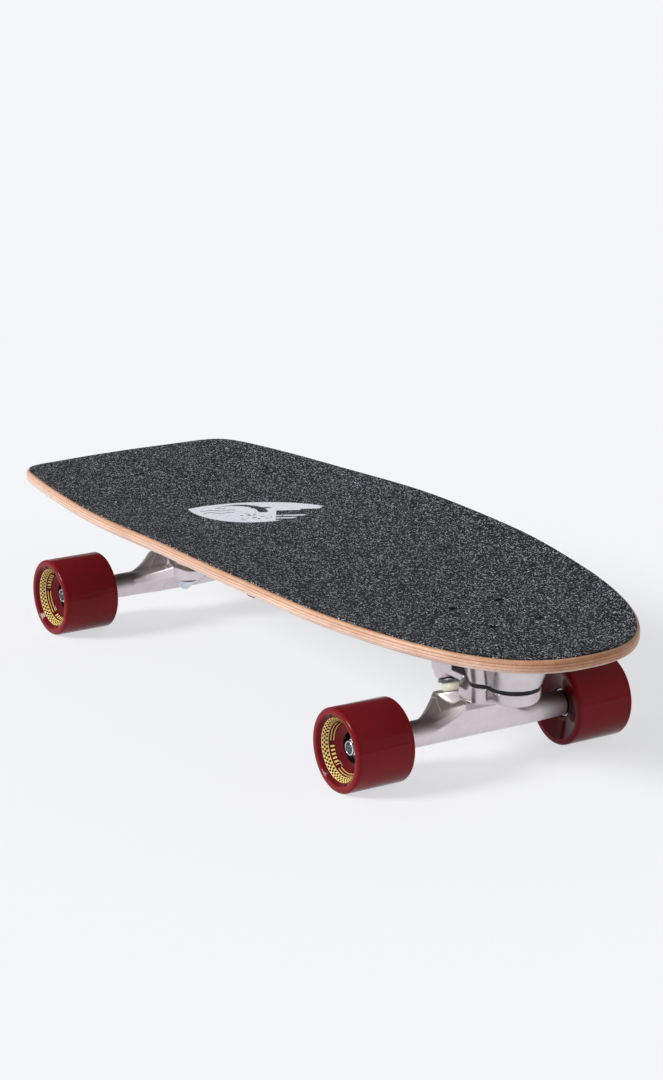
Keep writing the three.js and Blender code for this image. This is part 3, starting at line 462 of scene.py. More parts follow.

# Hanger's mould line, painted pale as a painted highlight, and its upward faces, painted darker as a
# painted reflection of the shaded board above
seam_lean = 1.05
seam_place = 75
seam_width = 0.35
seam_bottom_z = 44
seam_highlight_strength = 0.6
seam_highlight_tone = (252, 250, 250)
hanger_top_reflection_tone = (122, 108, 98)

# Wheel: urethane, with painted light on it: a deeper red on its rounded edges for light shining through,
# painted shade in its bowl and bore; and the check ring, arcs and dashes in its outer bowl
wheel_low_tone = (116, 28, 31)
wheel_high_tone = (126, 30, 33)
wheel_roughness = 0.085
wheel_roughness_play = 0.015
rim_translucence_tone = (108, 16, 23)
rim_depth_outside = 5
rim_depth_inside = 4
rim_start_radius = 27
rim_full_radius = 30
bowl_shade_tone = (82, 12, 17)
bowl_radius = 27.5
bore_shade_tone = (22, 9, 11)
bore_shade_radius = 12.2
between_checks_tone = (30, 10, 12)
ink_tone = (222, 192, 118)
check_inner_radius = 21.8
check_size = 0.88
check_count = 86
check_half = 1.5 * check_size
check_middle = check_inner_radius + check_half
check_border = 0.25
arc_radius = 20.1
arc_inside = 0.42
arc_outside = 0.72
dash_half = 0.8
dash_count = 42
dash_duty = 0.1
dash_third = -0.35


def seat_at(x, y=0):
    return Matrix.Translation(Vector((x, y, 0)) * MM)


def seat_of(node):
    low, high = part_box(node)
    return seat_at((low[0] + high[0]) / 2 / MM)


front_seat = seat_of("front_axle")
rear_seat = seat_of("rear_axle") @ Matrix.Rotation(math.pi, 4, "Z")
front_x = front_seat.translation.x / MM
rear_x = rear_seat.translation.x / MM
front_pattern_middle = front_x + front_pattern_x
rear_pattern_middle = rear_x - rear_pattern_x

# Lines that turned parts lie on: a point and a direction
kingpin_line = (ring_centre, kingpin_axis)
steer_line = (ring_centre, steer_axis)
axle_line = (axle_centre, np.array([0.0, 1.0, 0.0]))


def upright(x=0, y=0):
    return np.array([float(x), float(y), 0.0]), z_axis


swivel_line = upright(swivel_x)


def mixed(low, high, share):
    return low + (high - low) * share


# Signed distances: negative inside a solid, in millimetres
def smooth_min(first, second, blend):
    overlap = np.maximum(blend - np.abs(first - second), 0) / blend
    return np.minimum(first, second) - overlap * overlap * blend / 4


def smooth_max(first, second, blend):
    return -smooth_min(-first, -second, blend)


def bar(points, line, start, end, radius, edge=cast_edge):
    base, axis = line
    offset = points - base
    along = offset @ axis
    across = np.linalg.norm(offset - along[:, None] * axis, axis=1) - radius
    ends = np.abs(along - (start + end) / 2) - (end - start) / 2
    return smooth_max(across, ends, edge)


def hex_bar(points, line, start, end, across):
    base, axis = line
    offset = points - base
    along = offset @ axis
    side = np.cross(axis, [0, 1, 0])
    side = side / np.linalg.norm(side)
    other = np.cross(axis, side)
    u = offset @ side
    v = offset @ other
    flats = [abs(u * math.cos(turn) + v * math.sin(turn)) for turn in (0, math.pi / 3, 2 * math.pi / 3)]
    prism = np.maximum.reduce(flats) - across / 2
    ends = np.abs(along - (start + end) / 2) - (end - start) / 2
    corners = (np.hypot(u, v) - across / 2 * hex_round_share) * hex_round_across
    corners = corners + (ends + hex_round_depth) * hex_round_along
    return smooth_max(smooth_max(prism, ends, seat_edge), corners, seat_edge)


def polygon(x, z, corners):
    nearest = None
    inside = None
    for (ax, az), (bx, bz) in zip(corners, corners[1:] + corners[:1]):
        edge_x, edge_z = bx - ax, bz - az
        from_x, from_z = x - ax, z - az
        share = np.clip((from_x * edge_x + from_z * edge_z) / (edge_x ** 2 + edge_z ** 2), 0, 1)
        away = (from_x - edge_x * share) ** 2 + (from_z - edge_z * share) ** 2
        within = edge_x * from_z - edge_z * from_x > 0
        nearest = away if nearest is None else np.minimum(nearest, away)
        inside = within if inside is None else inside & within
    distance = np.sqrt(nearest)
    return np.where(inside, -distance, distance)


def box(points, low, high, edge):
    middle = (np.array(low) + np.array(high)) / 2
    half = (np.array(high) - np.array(low)) / 2
    gap = np.abs(points - middle) - half
    return smooth_max(smooth_max(gap[:, 0], gap[:, 1], edge), gap[:, 2], edge)


def share_of(value, low, high):
    return np.clip((value - low) / (high - low), 0, 1)


def eased(value, low, high):
    share = share_of(value, low, high)
    return share * share * (3 - 2 * share)


def club(points, inset=0, shouldered=False):
    """The swivel's plan: a lobe over the shaft, two ears and a heel, for the arm with shoulders between."""
    x, y = points[:, 0], points[:, 1]
    chain = [(heel_x, 0, heel_radius), (ear_x, ear_y, ear_radius)]
    if shouldered:
        chain.insert(1, (shoulder_x, shoulder_y, shoulder_radius))
    corners = [(px, -py) for px, py, _ in chain] + [(px, py) for px, py, _ in chain[:0:-1]]
    radius = np.interp(x, [disc[0] for disc in chain], [disc[2] for disc in chain])
    body = polygon(x, y, corners) - radius
    neck_gap_x = np.abs(x - (ear_x + swivel_x) / 2) - (swivel_x - ear_x) / 2
    neck = np.maximum(np.abs(y) - lobe_radius, neck_gap_x)
    lobe = np.minimum(np.hypot(x - swivel_x, y) - lobe_radius, neck)
    return smooth_min(body, lobe, notch_blend) + inset


def between(distance, points, bottom, top, edge):
    z = points[:, 2]
    return smooth_max(smooth_max(distance, bottom - z, edge), z - top, cast_edge)


def plate(points, tail_x, nose_x, half_width, corner):
    gap_x = np.abs(points[:, 0] - (tail_x + nose_x) / 2) - (nose_x - tail_x) / 2 + corner
    gap_y = np.abs(points[:, 1]) - half_width + corner
    outside = np.hypot(np.maximum(gap_x, 0), np.maximum(gap_y, 0))
    return outside + np.minimum(np.maximum(gap_x, gap_y), 0) - corner


def less(solid, *cuts, edge=less_edge):
    for cut in cuts:
        solid = smooth_max(solid, -cut, edge)
    return solid


def web_fade(reach):
    return 1 - share_of(reach, web_full_half, web_end_half)


def web(points, full, low, power, edge):
    x, y, z = points.T
    reach = np.abs(y)
    share = web_fade(reach) ** power
    corners = [(mixed(ax, bx, share), mixed(az, bz, share)) for (ax, az), (bx, bz) in zip(low, full)]
    return np.maximum(polygon(x, z, corners) - edge, reach - web_end_half)


def hanger(points):
    x, y, z = points.T
    reach = np.abs(y)
    taper = share_of(reach, web_end_half, hanger_half_width)
    tube = np.hypot(x, z - axle_height) - mixed(tube_radius, tube_end_radius, taper)
    tube = smooth_max(tube, reach - hanger_half_width, tube_end_edge)
    ring_web = web(points, ring_web_middle, ring_web_end, ring_web_power, ring_web_edge)
    pivot_web = web(points, pivot_web_middle, pivot_web_end, pivot_web_power, pivot_web_edge)
    # Room for the arm when the hanger tilts
    shoulder = z - web_shoulder_z + web_shoulder_slope * (reach - web_shoulder_half)
    pivot_web = smooth_max(pivot_web, shoulder, web_shoulder_edge)
    ring = bar(points, kingpin_line, ring_bottom, ring_top, ring_radius, ring_edge)
    stem = bar(points, steer_line, stem_start, stem_tip, stem_radius, stem_edge)
    fade = web_fade(reach)
    solid = smooth_min(tube, ring_web, mixed(*ring_web_blends, fade))
    solid = smooth_min(solid, pivot_web, mixed(*pivot_web_blends, fade))
    solid = smooth_min(smooth_min(solid, ring, ring_blend), stem, stem_blend)
    slot = np.abs(y) - (nut_pocket_half - nut_pocket_radius)
    offset = points - ring_centre
    along = offset @ kingpin_axis
    side_x = offset @ steer_axis
    pocket = np.hypot(side_x, np.maximum(slot, 0)) - nut_pocket_radius
    pocket = np.maximum(pocket, np.maximum(along - ring_bottom, nut_pocket_end - along))
    floor_low, floor_high = ring_floor_bottom - small_lap, ring_floor_top + small_lap
    return less(
        solid,
        bar(points, kingpin_line, floor_low, floor_high, ring_bore_radius),
        bar(points, kingpin_line, ring_floor_top, block_start, ring_seat_radius, seat_edge),
        bar(points, kingpin_line, skirt_bore_end, ring_floor_bottom, skirt_bore_radius, seat_edge),
        pocket,
        np.maximum(x - skirt_cut_x, z - skirt_cut_z),
        bar(points, axle_line, -axle_bore_half, axle_bore_half, axle_radius + seat_gap, drill_edge),
    )


def kingpin_block(points):
    return bar(points, kingpin_line, block_start, block_end, block_radius, block_edge)


def block_holes(points):
    cup_end, cup_radius = pivot_cup_end + seat_gap, pivot_cup_radius + seat_gap
    pocket_start = kingpin_head_base - seat_gap
    return [
        bar(points, kingpin_line, block_start - lap, block_end, kingpin_radius + seat_gap, drill_edge),
        bar(points, kingpin_line, pocket_start, block_end + lap, head_pocket_radius, drill_edge),
        bar(points, steer_line, pivot_relief_start, cup_end, cup_radius, seat_edge),
    ]


def pivot_boss(points):
    return bar(points, steer_line, pivot_boss_start, pivot_boss_end, pivot_boss_radius, pivot_boss_edge)


def swivel_arm(points):
    x, z = points[:, 0], points[:, 2]
    plan = club(points, 0, True)
    rim_round = mixed(cup_heel_round, cup_lobe_round, eased(x, ear_x, swivel_x))
    drop = eased(swivel_x - x, 0, drop_nose_end) * eased(x, 0, drop_heel_end)
    drop = cup_ear_drop * drop * (1 - eased(-plan, rim_round, rim_round + cup_drop_fade))
    lean = shoulder_lean * eased(x, heel_x, lean_tail_end)
    lean = lean * (1 - eased(x, lean_nose_start, lean_nose_end))
    wall = plan + lean * np.clip((z - cup_top_z + shoulder_depth) / shoulder_depth, 0, 1)
    cup = smooth_max(smooth_max(wall, cup_bottom_z - drop - z, rim_round), z - cup_top_z, less_edge)
    bridge_low = (bridge_tail_x, -bridge_half_width, bridge_bottom_z)
    bridge = box(points, bridge_low, (bridge_nose_x, bridge_half_width, cup_top_z), arm_box_edge)
    room_radius = cup_washer_radius + block_clearance
    washer_room = bar(points, kingpin_line, washer_room_start, block_start, room_radius, seat_edge)
    base = less(smooth_min(cup, bridge, arm_blend), washer_room)
    sweep = swivel_x - heel_x + heel_radius + block_clearance
    neck_low = (neck_tail_x, -neck_half_width, neck_bottom_z)
    neck = box(points, neck_low, (bridge_nose_x, neck_half_width, arm_block_top_z), arm_box_edge)
    head = smooth_min(kingpin_block(points), neck, arm_blend)
    head = smooth_max(head, z - arm_block_top_z, arm_top_edge)
    head = less(head, bar(points, swivel_line, cup_top_z, sweep_top_z, sweep, seat_edge))
    boss = smooth_max(pivot_boss(points), z - cup_top_z, boss_top_edge)
    bearing_bore = swivel_bearing_radius + seat_gap
    inside_z = cup_bottom_z + wide_lap
    outside_z = cup_bottom_z - long_lap
    solid = smooth_min(smooth_min(base, head, head_blend), boss, boss_blend)
    sleeve = bar(points, swivel_line, inside_z, sleeve_top_z, bearing_bore + sleeve_wall)
    pin = bar(points, upright(arm_pin_x), inside_z, arm_pin_top_z, spring_pin_radius)
    solid = np.minimum(np.minimum(solid, sleeve), pin)
    nut_room_top = shaft_nut_z + shaft_nut_height + seat_gap
    bearing_room_bottom = lower_bearing_z - seat_gap
    return less(
        solid,
        *block_holes(points),
        bar(points, swivel_line, outside_z, sleeve_top_z, shaft_radius + seat_gap, drill_edge),
        bar(points, swivel_line, bearing_room_bottom, sleeve_top_z + long_lap, bearing_bore, seat_edge),
        bar(points, swivel_line, outside_z, nut_room_top, shaft_nut_pocket_radius, seat_edge),
    )


def bolt_places(pattern_x):
    along, across = bolt_spacing_along / 2, bolt_spacing_across / 2
    return [
        ("tail_right", pattern_x - along, -across),
        ("tail_left", pattern_x - along, across),
        ("nose_right", pattern_x + along, -across),
        ("nose_left", pattern_x + along, across),
    ]


def bolt_bores(points, pattern_x, bottom, top, radius=bolt_radius + seat_gap, edge=drill_edge):
    return [bar(points, upright(x, y), bottom, top, radius, edge) for _, x, y in bolt_places(pattern_x)]


def front_housing(points):
    x, z = points[:, 0], points[:, 2]
    flare = ear_flare * eased(x, heel_x, ear_x)
    flare = flare + (lobe_flare - ear_flare) * eased(x, lobe_flare_start, lobe_flare_end)
    heights = (housing_bottom_z, housing_middle_z, flange_bottom_z)
    flare = flare * np.interp(z, heights, (0, flare_middle_share, 1))
    wall = between(club(points) - flare, points, housing_bottom_z, flange_bottom_z + wide_lap, cast_edge)
    flange = plate(points, flange_tail_x, flange_nose_x, flange_half_width, flange_corner)
    flange = between(flange, points, flange_bottom_z, flange_top_z, flange_edge)
    cavity = club(points, housing_wall)
    cavity = between(cavity, points, housing_bottom_z - long_lap, housing_ceiling_z, cavity_edge)
    solid = less(smooth_min(wall, flange, flange_blend), cavity)
    pin_top = housing_ceiling_z + small_lap
    pin = bar(points, upright(fixed_pin_x), fixed_pin_bottom_z, pin_top, spring_pin_radius)
    shaft_bottom = housing_ceiling_z - small_lap
    pocket_bottom = shaft_head_z - seat_gap
    return less(
        np.minimum(solid, pin),
        bar(points, swivel_line, shaft_bottom, flange_top_z, shaft_radius + seat_gap, drill_edge),
        bar(points, swivel_line, pocket_bottom, flange_top_z + lap, shaft_pocket_radius, seat_edge),
        *bolt_bores(points, front_pattern_x, front_tip_z - seat_gap, flange_top_z + lap),
    )


def rear_baseplate(points):
    z = points[:, 2]
    base = plate(points, plate_nose_x, plate_tail_x, plate_half_width, plate_corner)
    base = between(base, points, plate_bottom_z, plate_top_z + wide_lap, flange_edge)
    post_line = upright(pivot_post_x)
    post = bar(points, post_line, pivot_post_bottom_z, plate_top_z, pivot_post_radius, post_edge)
    boss = smooth_min(pivot_boss(points), post, post_blend)
    rib_low = (ring_centre[0], -rib_half_width, rib_bottom_z)
    rib = box(points, rib_low, (pivot_post_x, rib_half_width, plate_top_z), rib_edge)
    solid = smooth_min(base, kingpin_block(points), plate_blend)
    solid = smooth_min(solid, smooth_min(boss, rib, rib_blend), plate_blend)
    solid = smooth_max(solid, z - plate_top_z, less_edge)
    nut_bottom = rear_tip_z - seat_gap
    return less(
        solid,
        *block_holes(points),
        *bolt_bores(points, rear_pattern_x, plate_bottom_z - wide_lap, plate_top_z + wide_lap),
        *bolt_bores(points, rear_pattern_x, nut_bottom, plate_bottom_z, bolt_nut_room, seat_edge),
    )


def deck_bolt(points, top_z, tip_z, nut_top_z=None):
    x, y, z = points.T
    around = np.hypot(x, y)
    drop = top_z - seat_gap - z
    narrowing = np.maximum(drop - bolt_rim, 0) * (bolt_head_radius - bolt_radius) / bolt_head_height
    head = smooth_max(around - bolt_head_radius + narrowing, -drop, bolt_rim)
    head = smooth_max(head, drop - bolt_head_height, bolt_neck_edge)
    shank_top = top_z - seat_gap - small_lap
    solid = np.minimum(head, bar(points, upright(), tip_z, shank_top, bolt_radius, bolt_tip_edge))
    cross = np.minimum(
        np.maximum(np.abs(x) - cross_half_width, np.abs(y) - cross_half_length),
        np.maximum(np.abs(y) - cross_half_width, np.abs(x) - cross_half_length),
    )
    cross = np.maximum(cross, drop - cross_depth + around * cross_slope)
    solid = less(solid, cross, edge=cross_edge)
    if nut_top_z is not None:
        nut = hex_bar(points, upright(), nut_top_z - bolt_nut_height, nut_top_z, bolt_nut_across)
        solid = np.minimum(solid, nut)
    return solid


def kingpin(points):
    head_top = kingpin_head_base + kingpin_head_height
    shank = bar(points, kingpin_line, kingpin_tip, head_top - small_lap, kingpin_radius, kingpin_tip_edge)
    head = hex_bar(points, kingpin_line, kingpin_head_base, head_top, kingpin_head_across)
    return np.minimum(shank, head)


def kingpin_nut(points):
    top = kingpin_nut_base + kingpin_nut_height
    collar_top = kingpin_nut_base + collar_height
    collar_radius = kingpin_nut_across / 2 - collar_inset
    hex_bottom = kingpin_nut_base + kingpin_collar_free
    bore_bottom = kingpin_nut_base - lap
    solid = np.minimum(
        hex_bar(points, kingpin_line, hex_bottom, top, kingpin_nut_across),
        bar(points, kingpin_line, kingpin_nut_base, collar_top, collar_radius, kingpin_collar_free),
    )
    bore_radius = kingpin_radius + seat_gap
    return less(solid, bar(points, kingpin_line, bore_bottom, top + lap, bore_radius, seat_edge))


def axle_nut(points):
    line = upright()
    washer_end = axle_nut_start + axle_nut_washer_height
    nut_end = washer_end + axle_nut_height
    collar_radius = axle_nut_across / 2 - collar_inset
    washer = bar(points, line, axle_nut_start, washer_end, axle_nut_washer_radius, seat_edge)
    nut = hex_bar(points, line, washer_end - seat_gap, nut_end - axle_collar_free, axle_nut_across)
    collar = bar(points, line, nut_end - collar_height, nut_end, collar_radius, axle_collar_free)
    solid = np.minimum(washer, smooth_min(nut, collar, collar_blend))
    bore_radius = axle_radius + seat_gap
    return less(solid, bar(points, line, axle_nut_start - lap, nut_end + lap, bore_radius, nut_bore_edge))


# Meshes
def placed(name, data):
    obj = bpy.data.objects.new(name, data)
    bpy.context.scene.collection.objects.link(obj)
    return obj


def mesh_of(name, points, faces):
    mesh = bpy.data.meshes.new(name)
    mesh.from_pydata((np.asarray(points) * MM).tolist(), [], [list(map(int, face)) for face in faces])
    mesh.shade_smooth()
    return mesh


def index_grid(*counts):
    ranges = [np.arange(count) for count in counts]
    return np.stack(np.meshgrid(*ranges, indexing="ij"), axis=-1).reshape(-1, 3)


def sampled(shape, low, high, cell):
    """Signed distances on a grid, worked out only in blocks of cells near the solid."""
    blocks = np.ceil((np.array(high) - low) / cell / block_cells).astype(int)
    block_index = index_grid(*blocks)
    coarse = shape(low + (block_index * block_cells + (block_cells - 1) / 2) * cell)
    near = np.abs(coarse) < cell * block_cells * near_share
    step = index_grid(block_cells, block_cells, block_cells)
    values = np.where(coarse > 0, far_value, -far_value)[:, None] * np.ones(len(step))
    near_points = low + (block_index[near][:, None, :] * block_cells + step) * cell
    values[near] = shape(near_points.reshape(-1, 3)).reshape(-1, len(step))
    grid = values.reshape(*blocks, block_cells, block_cells, block_cells)
    return grid.transpose(0, 3, 1, 4, 2, 5).reshape(blocks * block_cells)


def skinned(name, shape, low, high, cell):
    """Skins a solid, given by its signed distance, with a net of quads that is settled on the solid."""
    low = np.array(low, dtype=float)
    grid = sampled(shape, low, high, cell)
    counts = np.array(grid.shape)
    corners = [(i, j, k) for i in (0, 1) for j in (0, 1) for k in (0, 1)]
    cells = counts - 1

    def part(corner):
        return grid[tuple(slice(start, start + size) for start, size in zip(corner, cells))]

    inside = sum((part(corner) < 0).astype(np.int8) for corner in corners)
    active = (inside > 0) & (inside < len(corners))
    where = np.argwhere(active)
    number = np.full(cells, -1)
    number[active] = np.arange(len(where))
    at = {corner: part(corner)[active] for corner in corners}
    total = np.zeros((len(where), 3))
    tally = np.zeros(len(where))
    for a in corners:
        for b in corners:
            if sum(b) - sum(a) == 1 and all(q >= p for p, q in zip(a, b)):
                va, vb = at[a], at[b]
                crossing = (va < 0) != (vb < 0)
                share = np.where(crossing, va / np.where(crossing, va - vb, 1), 0)
                place = np.array(a) + share[:, None] * (np.array(b) - np.array(a))
                total += place * crossing[:, None]
                tally += crossing
    points = low + (where + total / tally[:, None]) * cell

    faces = []
    for axis in range(3):
        others = [n for n in range(3) if n != axis]
        ahead = np.take(grid, range(1, counts[axis]), axis=axis)
        behind = np.take(grid, range(0, counts[axis] - 1), axis=axis)
        edges = np.argwhere((ahead < 0) != (behind < 0))
        keep = np.all([(edges[:, o] > 0) & (edges[:, o] < cells[o]) for o in others], axis=0)
        edges = edges[keep]
        ring = []
        for du, dv in ((-1, -1), (0, -1), (0, 0), (-1, 0)):
            shifted = edges.copy()
            shifted[:, others[0]] += du
            shifted[:, others[1]] += dv
            ring.append(number[tuple(shifted.T)])
        quads = np.stack(ring, axis=1)
        entering = behind[tuple(edges.T)] > 0
        flip = entering if axis != 1 else ~entering
        quads[flip] = quads[flip][:, ::-1]
        faces.append(quads)

    for _ in range(settling_rounds):
        value = shape(points)
        slope = np.stack([(shape(points + probe * d) - value) / probe for d in np.eye(3)], axis=1)
        steep = np.maximum((slope ** 2).sum(axis=1), least_slope)
        move = np.clip(value / steep, -cell / 2, cell / 2)
        points = points - slope * move[:, None]
    mesh = mesh_of(name, points, np.concatenate(faces))
    mesh.set_sharp_from_angle(angle=math.radians(cast_sharp_degrees))
    return mesh


def tidy(mesh, sharp_degrees=None):
    """Joins points that lie on each other, turns all faces outwards and makes edges sharp."""
    shape = bmesh.new()
    shape.from_mesh(mesh)
    bmesh.ops.remove_doubles(shape, verts=shape.verts, dist=join_distance * MM)
    bmesh.ops.dissolve_degenerate(shape, edges=shape.edges, dist=shortest_edge * MM)
    bmesh.ops.recalc_face_normals(shape, faces=shape.faces)
    shape.to_mesh(mesh)
    shape.free()
    if sharp_degrees:
        mesh.set_sharp_from_angle(angle=math.radians(sharp_degrees))
    return mesh


def rounded(profile, steps=4):
    """Rounds each corner (radius, height, round) of a closed profile."""
    out = []
    count = len(profile)
    for n, (r, h, edge) in enumerate(profile):
        corner = np.array([r, h], dtype=float)
        before = np.array(profile[n - 1][:2], dtype=float) - corner
        after = np.array(profile[(n + 1) % count][:2], dtype=float) - corner
        if edge == 0:
            out.append(tuple(corner))
            continue
        before_length, after_length = np.linalg.norm(before), np.linalg.norm(after)
        to_before = before / before_length
        to_after = after / after_length
        half = math.acos(np.clip(to_before @ to_after, -1, 1)) / 2
        back = min(edge / math.tan(half), round_room * before_length, round_room * after_length)
        radius = back * math.tan(half)
        inwards = (to_before + to_after) / np.linalg.norm(to_before + to_after)
        middle = corner + inwards * radius / math.sin(half)
        start = corner + to_before * back - middle
        end = corner + to_after * back - middle
        swing = math.acos(np.clip(start @ end / (radius * radius), -1, 1))
        turn_way = 1 if start[0] * end[1] - start[1] * end[0] > 0 else -1
        for step in range(steps + 1):
            angle = turn_way * swing * step / steps
            c, s = math.cos(angle), math.sin(angle)
            out.append((middle[0] + c * start[0] - s * start[1], middle[1] + s * start[0] + c * start[1]))
    return out


def lathe(profile, sides):
    """Turns a closed profile of (radius, height) round the Z axis, where a point stays one point."""
    points, rings = [], []
    for radius, height in profile:
        if radius < 1e-6:
            rings.append([len(points)] * sides)
            points.append((0, 0, height))
        else:
            rings.append(list(range(len(points), len(points) + sides)))
            for side in range(sides):
                angle = 2 * math.pi * side / sides
                points.append((radius * math.cos(angle), radius * math.sin(angle), height))
    faces = []
    area = sum(a[0] * b[1] - b[0] * a[1] for a, b in zip(profile, profile[1:] + profile[:1]))
    for first, second in zip(rings, rings[1:] + rings[:1]):
        for side in range(sides):
            after = (side + 1) % sides
            corners = [first[side], first[after], second[after], second[side]]
            unique = [c for n, c in enumerate(corners) if c != corners[n - 1]]
            if len(set(unique)) >= 3:
                faces.append(unique if area > 0 else unique[::-1])
    return points, faces


def lathed(name, profile, sides):
    return tidy(mesh_of(name, *lathe(profile, sides)), lathe_sharp_degrees)


def axis_seat(seat, base, axis):
    turn = Vector((0, 0, 1)).rotation_difference(Vector(axis)).to_matrix().to_4x4()
    return seat @ Matrix.Translation(Vector(base) * MM) @ turn


# Deck and grip tape
def half_width_at(x):
    ahead = share_of(x, widest_x, deck_half_length)
    nose = (1 - ahead ** nose_along_power) ** (1 / nose_across_power)
    back = np.clip((widest_x - x) / (deck_half_length + widest_x), 0, 1)
    tail = 1 - tail_taper_share * back ** tail_taper_power
    tail = tail * (1 - back ** tail_corner_power) ** (1 / tail_corner_root)
    return deck_half_width * np.where(x > widest_x, nose, tail)


def top_at(x, y):
    stations = np.array(top_stations)
    place = np.clip(np.searchsorted(stations[:, 0], x) - 1, 0, len(stations) - 2)
    start, end = stations[place], stations[place + 1]
    centre = mixed(start[:, 1], end[:, 1], eased(x, start[:, 0], end[:, 0]))
    side = np.maximum(np.abs(y) - concave_flat_half, 0) / (concave_full_at - concave_flat_half)
    return centre + concave_rise * side * side


def deck_outline():
    fine_x = -deck_half_length * np.cos(np.linspace(0, math.pi, outline_fine_points))
    fine_y = half_width_at(fine_x)
    run = np.hypot(np.diff(fine_x), np.diff(fine_y))
    heading = np.unwrap(np.arctan2(np.diff(fine_y), np.diff(fine_x)))
    bend = np.abs(np.diff(heading, prepend=heading[0]))
    reach = np.concatenate([[0], np.cumsum(run / outline_run + bend / outline_bend)])
    goals = np.linspace(0, reach[-1], outline_points // 2 + 1)
    x = np.interp(goals, reach, fine_x)
    y = np.interp(goals, reach, fine_y)
    y[0] = y[-1] = 0
    return np.concatenate([np.stack([x, y], 1), np.stack([x, -y], 1)[-2:0:-1]])


outline = deck_outline()


def inset_outline(inset):
    along = np.roll(outline, -1, axis=0) - np.roll(outline, 1, axis=0)
    along /= np.linalg.norm(along, axis=1)[:, None]
    return outline + np.stack([along[:, 1], -along[:, 0]], 1) * inset


def sheet_ring(inset, below, share):
    edge = inset_outline(inset)
    spine = np.clip(outline[:, 0], spine_inset - deck_half_length, deck_half_length - spine_inset)
    x = spine + (edge[:, 0] - spine) * share
    y = edge[:, 1] * share
    return np.stack([x, y, top_at(x, y) - below], 1)


def edge_rings(edge, below, lower):
    """The insets and depths of a rounded edge, outwards on top and inwards below."""
    rings = []
    for step in range(round_steps + 1):
        angle = math.pi / 2 * step / round_steps
        if lower:
            rings.append((edge * (1 - math.cos(angle)), below - edge * (1 - math.sin(angle))))
        else:
            rings.append((edge * (1 - math.sin(angle)), below + edge * (1 - math.cos(angle))))
    return rings


def sheet(name, inset, drop, thickness, top_round, bottom_round):
    """A sheet of the board's shape, its top a drop below the grip's, with each point's height as ply."""
    shares = np.linspace(0, 1, sheet_steps + 1)
    rings = [(inset + top_round, drop, share) for share in shares[:-1]]
    rings += [(inset + extra, below, 1) for extra, below in edge_rings(top_round, drop, False)]
    bottom = drop + thickness
    rings += [(inset + extra, below, 1) for extra, below in edge_rings(bottom_round, bottom, True)]
    rings += [(inset + bottom_round, bottom, share) for share in shares[::-1][1:]]
    points = np.concatenate([sheet_ring(*ring) for ring in rings])
    count = len(outline)
    faces = []
    for row in range(len(rings) - 1):
        near, far = row * count, (row + 1) * count
        for step in range(count):
            after = (step + 1) % count
            faces.append((near + step, near + after, far + after, far + step))
    mesh = mesh_of(name, points, faces)
    ply = mesh.attributes.new("ply", "FLOAT", "POINT")
    ply.data.foreach_set("value", np.repeat([1 - (ring[1] - drop) / thickness for ring in rings], count))
    return tidy(mesh, sheet_sharp_degrees)


def drill_mesh(places, profile):
    points, faces = [], []
    ring_points, ring_faces = lathe(profile, drill_sides)
    for x, y in places:
        shift = len(points)
        points += [(px + x, py + y, pz) for px, py, pz in ring_points]
        faces += [[shift + corner for corner in face] for face in ring_faces]
    return tidy(mesh_of("drills", points, faces))


def drilled(mesh, drills):
    """Cuts one mesh of drills out of a mesh."""
    body = placed("body", mesh)
    cutter = placed("cutter", drills)
    cut = body.modifiers.new("cut", "BOOLEAN")
    cut.operation = "DIFFERENCE"
    cut.solver = "EXACT"
    cut.object = cutter
    bpy.context.view_layer.update()
    result = bpy.data.meshes.new_from_object(body.evaluated_get(bpy.context.evaluated_depsgraph_get()))
    result.name = mesh.name + "_cut"
    for obj in (body, cutter):
        bpy.data.objects.remove(obj)
    return result


# Materials
def linear(red, green, blue):
    """A colour as it shows on screen, from 0 to 255, in Blender's linear values."""
    def channel(value):
        value /= 255
        return value / 12.92 if value <= 0.04045 else ((value + 0.055) / 1.055) ** 2.4
    return (channel(red), channel(green), channel(blue), 1)


def node_sum(operation):
    """A method that hands a value to a math node."""
    return lambda value, *others: value.tree.math(operation, value, *others)


class Value:
    """What one output of a shader node gives at each point, for use in sums and comparisons."""

    def __init__(self, tree, socket):
        self.tree = tree
        self.socket = socket

    def __rsub__(self, other):
        return self.tree.math("SUBTRACT", other, self)

    __add__ = node_sum("ADD")
    __sub__ = node_sum("SUBTRACT")
    __mul__ = node_sum("MULTIPLY")
    __truediv__ = node_sum("DIVIDE")
    __lt__ = node_sum("LESS_THAN")
    __gt__ = node_sum("GREATER_THAN")
    __or__ = node_sum("MAXIMUM")
    __abs__ = node_sum("ABSOLUTE")
    root = node_sum("SQRT")
    floor = node_sum("FLOOR")
    sine = node_sum("SINE")
    there_and_back = node_sum("PINGPONG")


